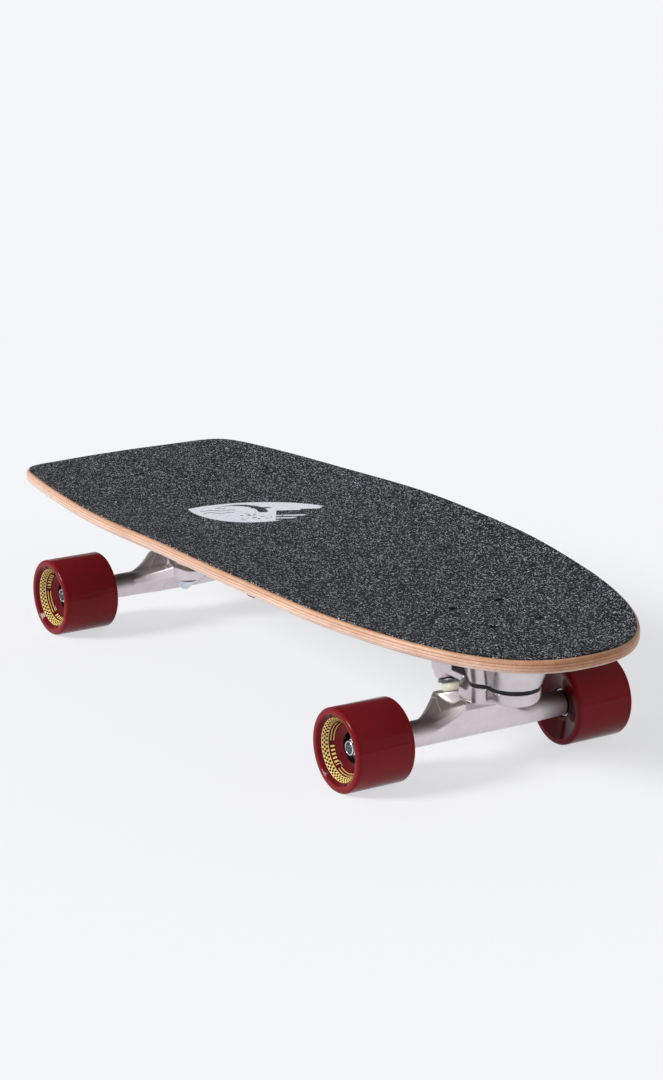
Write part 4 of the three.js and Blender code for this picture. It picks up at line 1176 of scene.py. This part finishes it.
class Nodes:
    """A tree of shader nodes."""

    def __init__(self, tree):
        self.nodes = tree.nodes
        self.links = tree.links

    def set(self, node, values):
        for name, value in values.items():
            if isinstance(value, Value):
                self.links.new(value.socket, node.inputs[name])
            else:
                node.inputs[name].default_value = value

    def add(self, kind, output=0, values=None, **settings):
        made = self.nodes.new("ShaderNode" + kind)
        for name, value in settings.items():
            setattr(made, name, value)
        self.set(made, values or {})
        return Value(self, made.outputs[output])

    def math(self, operation, *values):
        return self.add("Math", 0, dict(enumerate(values)), operation=operation)

    def parts(self, vector):
        """The X, Y and Z of a vector."""
        first = self.add("SeparateXYZ", 0, {"Vector": vector})
        return [Value(self, socket) for socket in first.socket.node.outputs]

    def place(self, scale=(1, 1, 1)):
        spot = self.add("TexCoord", "Object")
        return self.add("Mapping", 0, {"Vector": spot, "Scale": scale})

    def spot(self):
        """Where a point lies on its piece, in millimetres."""
        return self.parts(self.place((1 / MM, 1 / MM, 1 / MM)))

    def facing(self):
        """The way the surface faces."""
        return self.parts(self.add("NewGeometry", "Normal"))

    def noise(self, scale, detail, roughness, stretch=(1, 1, 1)):
        values = {"Vector": self.place(stretch), "Scale": scale, "Detail": detail, "Roughness": roughness}
        return self.add("TexNoise", "Fac", values)

    def ramp(self, value, stops):
        made = self.add("ValToRGB", "Color", {"Fac": value})
        elements = made.socket.node.color_ramp.elements
        while len(elements) < len(stops):
            elements.new(0.5)
        for element, (position, colour) in zip(elements, stops):
            element.position = position
            element.color = colour
        return made

    def toned(self, value, stops):
        return self.ramp(value, [(position, linear(*tone)) for position, tone in stops])

    def blend(self, factor, first, tone, mode="MIX"):
        """The first colour turned by a factor to a tone, which is a value or from 0 to 255."""
        second = tone if isinstance(tone, Value) else linear(*tone)
        return self.add("Mix", 2, {0: factor, 6: first, 7: second}, data_type="RGBA", blend_type=mode)

    def choose(self, factor, first, second):
        return self.add("Mix", 0, {0: factor, 2: first, 3: second}, data_type="FLOAT")

    def spread(self, value, low, high, low_to=0.0, high_to=1.0):
        values = {"Value": value, "From Min": low, "From Max": high, "To Min": low_to, "To Max": high_to}
        return self.add("MapRange", 0, values)


class Paint(Nodes):
    """A material whose shader is fed by nodes."""

    def __init__(self, name, **values):
        self.material = bpy.data.materials.new(name)
        self.material.use_nodes = True
        super().__init__(self.material.node_tree)
        self.shader = self.nodes["Principled BSDF"]
        self.shade(**values)

    def shade(self, **values):
        """Sets the shader's inputs by their names, written as words."""
        names = {key: key.replace("_", " ").title().replace("Ior", "IOR") for key in values}
        self.set(self.shader, {names[key]: value for key, value in values.items()})

    def bump(self, height, distance, strength):
        values = {"Height": height, "Distance": distance * MM, "Strength": strength}
        self.shade(Normal=self.add("Bump", 0, values))

    def cloudy(self, cloud, low_tone, high_tone, roughness, roughness_play):
        """Makes tone and roughness drift with a cloud, and hands back the tone."""
        tone = self.toned(cloud, [(cloud_low, low_tone), (cloud_high, high_tone)])
        low, high = roughness - roughness_play, roughness + roughness_play
        self.shade(Base_color=tone, Roughness=self.spread(cloud, cloud_low, cloud_high, low, high))
        return tone


def maple():
    paint = Paint("maple_plies", roughness=0.4, specular_ior_level=0.35)
    ply = paint.add("Attribute", "Fac", attribute_name="ply")
    grain = paint.noise(scale=90, detail=6, roughness=0.6, stretch=(0.07, 1, 1))
    fine = paint.noise(scale=900, detail=3, roughness=0.6, stretch=(0.05, 1, 1))
    facing_x, _, facing_z = paint.facing()
    wood = paint.toned(ply, ply_and_highlight_stops)
    for share, tone in (
        (paint.spread(grain, low=0.35, high=0.7, low_to=0, high_to=0.4), grain_tone),
        (paint.spread(fine, low=0.4, high=0.75, low_to=0, high_to=0.3), fine_grain_tone),
        (paint.spread(abs(facing_x), low=0.4, high=0.95, low_to=0, high_to=0.9), end_grain_tone),
    ):
        wood = paint.blend(share, wood, tone, "MULTIPLY")
    # Faces that point down are painted dark: painted shade under the board, which the metal below reflects.
    wood = paint.blend(facing_z < underside_facing, wood, underside_shade_tone)
    # The wood round each deck bolt, seen down the grip's holes, is painted near black: painted shade in the
    # holes.
    in_bolt_hole_shade = bolt_reach(paint) < bolt_hole_shade_radius
    paint.shade(Base_color=paint.blend(in_bolt_hole_shade, wood, bolt_hole_shade_tone))
    paint.bump(grain + fine, distance=0.05, strength=0.3)
    return paint.material


def bolt_reach(paint):
    """How far a point on the board lies from the axis of the nearest deck bolt."""
    x, y, _ = paint.spot()
    across = abs(y) - bolt_spacing_across / 2
    reaches = []
    for middle in (front_pattern_middle, rear_pattern_middle):
        along = abs(x - middle) - bolt_spacing_along / 2
        reaches.append((along * along + across * across).root())
    return paint.math("MINIMUM", *reaches)


def wave_motif(paint):
    """A generic wave in an oval, wide along u and high along v, 1 where it is white."""
    x, y, _ = paint.spot()
    x, y = x - motif_x, y - motif_y
    turn_c, turn_s = math.cos(motif_turn), math.sin(motif_turn)
    u = x * turn_c + y * turn_s
    v = y * turn_c - x * turn_s
    oval = {}
    for name, (middle_u, middle_v, reach_u, reach_v) in motif_ovals.items():
        far_u = (u - middle_u) / reach_u
        far_v = (v - middle_v) / reach_v
        oval[name] = far_u * far_u + far_v * far_v < 1
    whole = oval["lower edge"] * oval["upper edge"]
    curl = oval["curl"] * (1 - oval["curl hole"]) * (v > curl_floor)
    sea = (u > sea_start) * (v < sea_top) | (u > far_sea_start) * (v < far_sea_top)
    lines = (v + line_shift).there_and_back(line_pitch) < line_width
    sea = sea * (1 - lines * (v < line_top) * (u < v * line_lean + line_reach))
    ripple = (u / ripple_length).sine() * ripple_height
    ripples = ((v + ripple).there_and_back(ripple_pitch) < ripple_width) * oval["ripples"]
    foam = (paint.noise(scale=230, detail=3, roughness=0.6) > foam_level) * oval["foam"]
    return whole * (1 - (curl | oval["lip"] | (sea | ripples) | foam))


def grip():
    paint = Paint("grip_mineral", roughness=0.9, specular_ior_level=0.25)
    grains = paint.add("TexVoronoi", "Color", {"Vector": paint.place(), "Scale": grain_scale})
    tone = paint.parts(grains)[0]
    cloud = paint.noise(scale=60, detail=3, roughness=0.6)
    cloud = paint.spread(cloud, cloud_low, cloud_high, 0, grip_cloud_share)
    mineral = paint.blend(cloud, paint.toned(tone, mineral_stops), grip_cloud_tone)
    white = paint.toned(tone, print_stops)
    paint.shade(Base_color=paint.blend(wave_motif(paint), mineral, white))
    paint.bump(tone, distance=0.35, strength=0.7)
    return paint.material


def cast(name, metallic, roughness, low_tone, high_tone):
    """A cast metal's paint, and its tone."""
    paint = Paint(name, metallic=metallic)
    cloud = paint.noise(scale=60, detail=4, roughness=0.6)
    tone = paint.cloudy(cloud, low_tone, high_tone, roughness, roughness_play=0.05)
    paint.bump(paint.noise(scale=1800, detail=2, roughness=0.6), distance=0.05, strength=0.3)
    return paint, tone


def hanger_cast():
    """The hanger's rougher casting, with a painted highlight along the line where its mould halves met, and
    a painted reflection on its upward faces.
    """
    paint, tone = cast("cast_hanger", 0.85, 0.48, (224, 215, 218), (240, 232, 235))
    _, y, z = paint.spot()
    # A thin line where the mould halves met is painted pale: a painted highlight along it.
    seam = (abs(abs(y) + z * seam_lean - seam_place) < seam_width) * (z > seam_bottom_z)
    # Upward faces are painted darker and browner: a painted reflection of the shaded board above them.
    up = paint.spread(paint.facing()[2], low=0.25, high=0.8, low_to=0, high_to=0.7)
    tone = paint.blend(up, tone, hanger_top_reflection_tone)
    paint.shade(Base_color=paint.blend(seam * seam_highlight_strength, tone, seam_highlight_tone))
    return paint.material


def wheel_print(reach, angle):
    """A gold check ring, and gold arcs and dashes inside it, 1 where there is ink."""
    row = ((reach - check_inner_radius) / check_size).floor()
    column = (angle * (check_count / (2 * math.pi))).floor()
    odd = (row + column).there_and_back(1)
    off_middle = abs(reach - check_middle)
    border = (off_middle < check_half + check_border) * (off_middle > check_half)
    checks = (off_middle < check_half) * odd | border
    third = (angle * 3).sine()
    twin = abs(reach - arc_radius)
    arcs = (twin < arc_outside) * (twin > arc_inside) * (third > dash_duty)
    dashes = (twin < dash_half) * ((angle * dash_count).sine() > dash_duty) * (third < dash_third)
    return checks | (arcs | dashes)


def urethane():
    paint = Paint("wheel_urethane", specular_ior_level=0.1)
    cloud = paint.noise(scale=25, detail=3, roughness=0.5)
    x, y, z = paint.spot()
    reach = (x * x + y * y).root()
    outer_face = wheel_inner_face + wheel_width
    near_outer = paint.spread(z, outer_face - rim_depth_outside, outer_face)
    near_inner = paint.spread(z, wheel_inner_face + rim_depth_inside, wheel_inner_face)
    # The rounded edges are painted a deeper, redder tone: painted light shining through the thin urethane
    # there.
    rim = (near_outer | near_inner) * paint.spread(reach, rim_start_radius, rim_full_radius)
    body = paint.cloudy(cloud, wheel_low_tone, wheel_high_tone, wheel_roughness, wheel_roughness_play)
    outside = z > outer_face - hub_edge_depth
    between_checks = abs(reach - check_middle) < check_half
    red = paint.blend(rim, body, rim_translucence_tone)
    # The bowl is painted darker: painted shade in its recess.
    red = paint.blend(reach < bowl_radius, red, bowl_shade_tone)
    # The bore is painted near black: painted shade down the hole round the bearings.
    red = paint.blend(reach < bore_shade_radius, red, bore_shade_tone)
    red = paint.blend(outside * between_checks, red, between_checks_tone)
    ink = outside * wheel_print(reach, paint.math("ARCTAN2", y, x))
    paint.shade(Base_color=paint.blend(ink, red, ink_tone))
    return paint.material


def simple(name, low_tone, high_tone, roughness, metallic, scale=400):
    paint = Paint(name, metallic=metallic)
    cloud = paint.noise(scale, detail=4, roughness=0.6)
    paint.cloudy(cloud, low_tone, high_tone, roughness, roughness_play=0.06)
    paint.bump(cloud, distance=0.03, strength=0.4)
    return paint.material


# Each material's name is its slot's, apart from the last three
paints = {
    "maple_plies": maple(),
    "grip_mineral": grip(),
    "cast_aluminium": cast("cast_aluminium", 1.0, 0.33, (202, 194, 197), (220, 212, 215))[0].material,
    "wheel_urethane": urethane(),
    "black_polymer": simple("black_polymer", (9, 9, 11), (15, 15, 17), 0.6, 0),
    "bushing_urethane": simple("bushing_urethane", (218, 214, 192), (228, 224, 204), 0.4, 0, 80),
    "dark_steel": simple("dark_steel", (96, 96, 98), (122, 122, 124), 0.34, 1),
    "zinc_steel": simple("zinc_steel", (208, 216, 226), (230, 236, 243), 0.22, 1),
    "black_steel": simple("black_steel", (48, 49, 53), (64, 65, 69), 0.45, 0.4),
    "bearing_steel": simple("bearing_steel", (188, 190, 194), (214, 215, 218), 0.2, 1),
    "cast_hanger": hanger_cast(),
    "axle_steel": simple("axle_steel", (84, 85, 90), (104, 105, 110), 0.3, 1),
    "bearing_shield": simple("bearing_shield", (14, 15, 17), (24, 25, 28), 0.4, 0),
}


def add_piece(node, mesh, slot, body, seat=None, name=None, paint=None):
    """Puts a mesh in the place of a CAD node, which is hidden, rides it on a body and gives it the named
    paint, else its slot's, if the mesh has none yet.
    """
    obj = placed(name or node + "_look", mesh)
    if seat is not None:
        obj.matrix_world = seat
    if not mesh.materials:
        mesh.materials.append(paints[paint or slot])
    bpy.context.view_layer.update()
    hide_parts(node)
    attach(obj, body)


# Deck, grip tape and deck bolts
front_bolts = [(front_x + x, y) for _, x, y in bolt_places(front_pattern_x)]
rear_bolts = [(rear_x - x, -y) for _, x, y in bolt_places(rear_pattern_x)]

deck_mesh = sheet("deck_board", 0, deck_top_drop, deck_thickness, top_edge_round, bottom_edge_round)
for places, top in ((front_bolts, front_deck_top), (rear_bolts, rear_deck_top)):
    head = bolt_head_radius + seat_gap
    shank = bolt_radius + seat_gap
    neck_z = top - bolt_head_height - seat_gap
    bottom_z = top - deck_drill_depth
    sink = [(0, bottom_z), (shank, bottom_z), (shank, neck_z), (head, top - seat_gap)]
    sink += [(head, top + long_lap), (0, top + long_lap)]
    deck_mesh = drilled(deck_mesh, drill_mesh(places, sink))
add_piece("deck", deck_mesh, "maple_plies", "board", name="deck_board")

grip_mesh = sheet("grip_sheet", grip_inset, 0, grip_thickness, grip_edge_round, grip_bottom_round)
for places, top in ((front_bolts, front_top_z), (rear_bolts, rear_top_z)):
    low_z, high_z = top - grip_drill_half, top + grip_drill_half
    hole = [(0, low_z), (grip_hole_radius, low_z), (grip_hole_radius, high_z), (0, high_z)]
    grip_mesh = drilled(grip_mesh, drill_mesh(places, hole))
add_piece("grip_tape", grip_mesh, "grip_mineral", "board", name="grip_sheet")

for name, pattern_x, truck_x, top, tip, nut_top in (
    ("front", front_pattern_x, front_x, front_deck_top, front_tip_z, None),
    ("rear", -rear_pattern_x, rear_x, rear_top_z - bolt_grip_drop, rear_tip_z, rear_nut_top_z),
):
    low = (-bolt_room, -bolt_room, tip - small_lap)
    high = (bolt_room, bolt_room, top + small_lap)
    shape = lambda points: deck_bolt(points, top, tip, nut_top)
    mesh = skinned(name + "_bolt", shape, low, high, bolt_cell)
    for place, x, y in bolt_places(pattern_x):
        add_piece(f"{name}_deck_bolt_{place}", mesh, "black_steel", "board", seat_at(x + truck_x, y))

# Castings, each with the low and the high corner of the room it is searched in
for node, shape, low, high, body, seat in (
    ("front_housing", front_housing, (-14, -34, 74), (90, 34, 116), "board", front_seat),
    ("swivel_arm", swivel_arm, (-58, -30, 54), (76, 30, 100), "front_arm", front_seat),
    ("rear_baseplate", rear_baseplate, (-56, -32, 54), (46, 32, 98), "board", rear_seat),
):
    add_piece(node, skinned(node + "_look", shape, low, high, cast_cell), "cast_aluminium", body, seat)


# Turned parts: corners as (radius, height, round)
def bushing_profile(start, end, waist, middle):
    bore = kingpin_radius + seat_gap
    full = mixed(start, end, bushing_full_share)
    end_radius = waist - bushing_taper
    return [
        (bore, start, 0), (waist, start, 1), (middle, full, 2.5), (end_radius, end, 1.2), (bore, end, 0),
    ]


def cup_washer_profile():
    bore = kingpin_radius + seat_gap
    face = top_bushing[1] + seat_gap
    back = face + washer_thickness
    lip = face - cup_washer_lip
    lip_inner = cup_washer_radius - washer_thickness / 2
    return [
        (bore, face, 0.2), (lip_inner, face, 0.8), (lip_inner, lip, 0.3),
        (cup_washer_radius, lip, 0.3), (cup_washer_radius, back, 1.4), (bore, back, 0.2),
    ]


def lower_washer_profile():
    bore = kingpin_radius + seat_gap
    face = bottom_bushing[1] - seat_gap
    back = face - washer_thickness
    return [
        (bore, face, 0.2), (lower_washer_radius, face, 0.5),
        (lower_washer_radius, back, 0.5), (bore, back, 0.2),
    ]


def wheel_profile():
    seat_radius = bearing_radius + seat_gap
    lip_start = inner_bearing_start + bearing_width + seat_gap
    lip_end = outer_bearing_start - seat_gap
    inner = wheel_inner_face
    outer = wheel_inner_face + wheel_width
    hollow = inner + inner_hollow_depth
    return [
        (wheel_lip_radius, lip_start, 0.3), (seat_radius, lip_start, 0.3), (seat_radius, hollow, 0.6),
        (inner_hollow_radius, hollow, 2), (inner_face_radius, inner, 2), (wheel_radius, inner, 2.6),
        (wheel_radius, outer, 4.5), (outer_face_radius, outer, 1.4),
        (bowl_step_radius, outer - bowl_step_depth, 1.2),
        (bowl_floor_radius, outer - bowl_floor_depth, 0.5),
        (hub_radius, outer - hub_depth, 3), (seat_radius, outer - hub_edge_depth, 0.6),
        (seat_radius, lip_end, 0.3), (wheel_lip_radius, lip_end, 0.3),
    ]


def bearing_profile(start):
    bore = axle_radius + seat_gap
    end = start + bearing_width
    near, far = start + shield_sink, end - shield_sink
    return [
        (bore, start, 0.3), (inner_race_radius, start, 0.3), (shield_inner_radius, near, 0.1),
        (shield_outer_radius, near, 0.1), (outer_race_radius, start, 0.2), (bearing_radius, start, 0.6),
        (bearing_radius, end, 0.6), (outer_race_radius, end, 0.2), (shield_outer_radius, far, 0.1),
        (shield_inner_radius, far, 0.1), (inner_race_radius, end, 0.3), (bore, end, 0.3),
    ]


def bearing_mesh(start):
    mesh = lathed("bearing", rounded(bearing_profile(start), 2), ring_sides)
    mesh.materials.append(paints["bearing_steel"])
    mesh.materials.append(paints["bearing_shield"])
    shield_start = (inner_race_radius + shield_inner_radius) / 2
    shield_end = (shield_outer_radius + outer_race_radius) / 2
    for face in mesh.polygons:
        middle = face.center / MM
        reach = math.hypot(middle.x, middle.y)
        depth = min(middle.z - start, start + bearing_width - middle.z)
        if shield_start < reach < shield_end and depth > shield_least_depth:
            face.material_index = 1
    return mesh


# Trucks, wheels and bearings
hanger_mesh = skinned("hanger", hanger, low=(-48, -84, 18), high=(40, 84, 76), cell=cast_cell)
wheel = lathed("wheel", rounded(wheel_profile(), 6), wheel_sides)
inner_bearing = bearing_mesh(inner_bearing_start)
outer_bearing = bearing_mesh(outer_bearing_start)
nut_low = (-axle_nut_room, -axle_nut_room, axle_nut_start - small_lap)
nut_high = (axle_nut_room, axle_nut_room, axle_nut_start + axle_nut_room)
nut_mesh = skinned("axle_nut", axle_nut, nut_low, nut_high, nut_cell)
pin_mesh = skinned("kingpin", kingpin, low=(-45, -11, 22), high=(0, 11, 96), cell=kingpin_cell)
pin_nut_mesh = skinned("kingpin_nut", kingpin_nut, low=(-32, -9, 22), high=(-6, 9, 42), cell=nut_cell)

for truck, seat, carrier, left in (
    ("front", front_seat, "front_arm", 1),
    ("rear", rear_seat, "board", -1),
):
    hanger_body = truck + "_hanger_body"
    add_piece(truck + "_hanger", hanger_mesh, "cast_aluminium", hanger_body, seat, paint="cast_hanger")
    add_piece(truck + "_kingpin", pin_mesh, "zinc_steel", carrier, seat)
    add_piece(truck + "_kingpin_nut", pin_nut_mesh, "zinc_steel", carrier, seat)
    for part, profile, slot in (
        ("bushing_top", bushing_profile(*top_bushing), "bushing_urethane"),
        ("bushing_bottom", bushing_profile(*bottom_bushing)[::-1], "bushing_urethane"),
        ("cup_washer_top", cup_washer_profile(), "dark_steel"),
        ("washer_bottom", lower_washer_profile(), "dark_steel"),
    ):
        node = f"{truck}_{part}"
        mesh = lathed(node + "_look", rounded(profile), ring_sides)
        add_piece(node, mesh, slot, carrier, axis_seat(seat, *kingpin_line))
    for place, way in (("left", left), ("right", -left)):
        side = axis_seat(seat, axle_centre, (0, way, 0))
        for part, mesh, slot, body in (
            ("wheel", wheel, "wheel_urethane", f"{truck}_wheel_{place}_body"),
            ("bearing_inner", inner_bearing, "bearing_steel", f"{truck}_wheel_{place}_body"),
            ("bearing_outer", outer_bearing, "bearing_steel", f"{truck}_wheel_{place}_body"),
            ("axle_nut", nut_mesh, "zinc_steel", hanger_body),
        ):
            add_piece(f"{truck}_{part}_{place}", mesh, slot, body, side)

# Pieces that keep their CAD solids
carried = {
    "front_pad": "black_polymer",
    "rear_riser": "black_polymer",
    "swivel_seal": "black_polymer",
    "swivel_shaft": "zinc_steel",
    "swivel_shaft_nut": "zinc_steel",
    "swivel_bearing_lower": "bearing_steel",
    "swivel_bearing_upper": "bearing_steel",
    "return_spring": "zinc_steel",
}
for truck in ("front", "rear"):
    carried[truck + "_pivot_cup"] = "black_polymer"
    carried[truck + "_axle"] = "axle_steel"
    for place in ("left", "right"):
        carried[f"{truck}_bearing_spacer_{place}"] = "zinc_steel"
for name, paint in carried.items():
    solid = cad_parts[name]
    if solid.data.materials:
        solid.material_slots[0].material = paints[paint]
    else:
        solid.data.materials.append(paints[paint])


# Floor, light and camera
def floor():
    paint = Paint("floor")
    diffuse = paint.add("BsdfDiffuse", 0, {"Color": linear(*floor_tone)})
    glow = paint.add("Emission", 0, {"Color": linear(*floor_glow_tone), "Strength": floor_glow})
    seen = paint.add("LightPath", "Is Camera Ray") | paint.add("LightPath", "Is Glossy Ray")
    surface = paint.add("MixShader", 0, {0: seen * floor_glow_share, 1: diffuse, 2: glow})
    paint.set(paint.nodes["Material Output"], {"Surface": surface})
    paint.nodes.remove(paint.shader)
    corners = [(x * floor_reach, y * floor_reach, 0) for x, y in ((-1, -1), (1, -1), (1, 1), (-1, 1))]
    mesh = mesh_of("floor", corners, [(0, 1, 2, 3)])
    mesh.materials.append(paint.material)
    obj = placed("floor", mesh)


def world_light():
    """White to the camera, a grey tent with a dark band to glossy surfaces, a dome of light to the rest."""
    world = bpy.data.worlds.new("studio")
    bpy.context.scene.world = world
    world.use_nodes = True
    nodes = Nodes(world.node_tree)
    height = nodes.parts(nodes.add("TexCoord", "Generated"))[2]
    tent = nodes.ramp(height, [(position, (tone, tone, tone, 1)) for position, tone in tent_stops])
    dome = nodes.spread(height, 0, 1, horizon_strength, zenith_strength)
    lit = nodes.choose(nodes.add("LightPath", "Is Glossy Ray"), dome, tent)
    seen = nodes.choose(nodes.add("LightPath", "Is Camera Ray"), lit, 1)
    nodes.set(nodes.nodes["Background"], {"Color": linear(*backdrop_tone), "Strength": seen})


def toward(azimuth, elevation):
    level = math.cos(elevation)
    return Vector((math.sin(azimuth) * level, -math.cos(azimuth) * level, math.sin(elevation)))


def key_light():
    lamp = bpy.data.lights.new("key_light", "SUN")
    lamp.energy = key_strength
    lamp.angle = key_spread
    obj = placed("key_light", lamp)
    obj.rotation_euler = toward(key_azimuth, key_elevation).to_track_quat("Z", "Y").to_euler()


def camera():
    back = toward(view_azimuth, view_elevation)
    right = Vector((math.cos(view_azimuth), math.sin(view_azimuth), 0))
    up = back.cross(right)
    rolled_right = math.cos(view_roll) * right + math.sin(view_roll) * up
    rolled_up = math.cos(view_roll) * up - math.sin(view_roll) * right
    lens = bpy.data.cameras.new("camera")
    lens.lens = lens_length
    lens.sensor_width = sensor_length
    lens.clip_end = view_reach
    turn = Matrix((rolled_right, rolled_up, back)).transposed().to_4x4()
    spot = (Vector(view_target) + back * view_distance) * MM
    obj = placed("camera", lens)
    obj.matrix_world = Matrix.Translation(spot) @ turn
    bpy.context.scene.camera = obj


floor()
world_light()
key_light()
camera()
bpy.context.scene.view_settings.view_transform = "Standard"
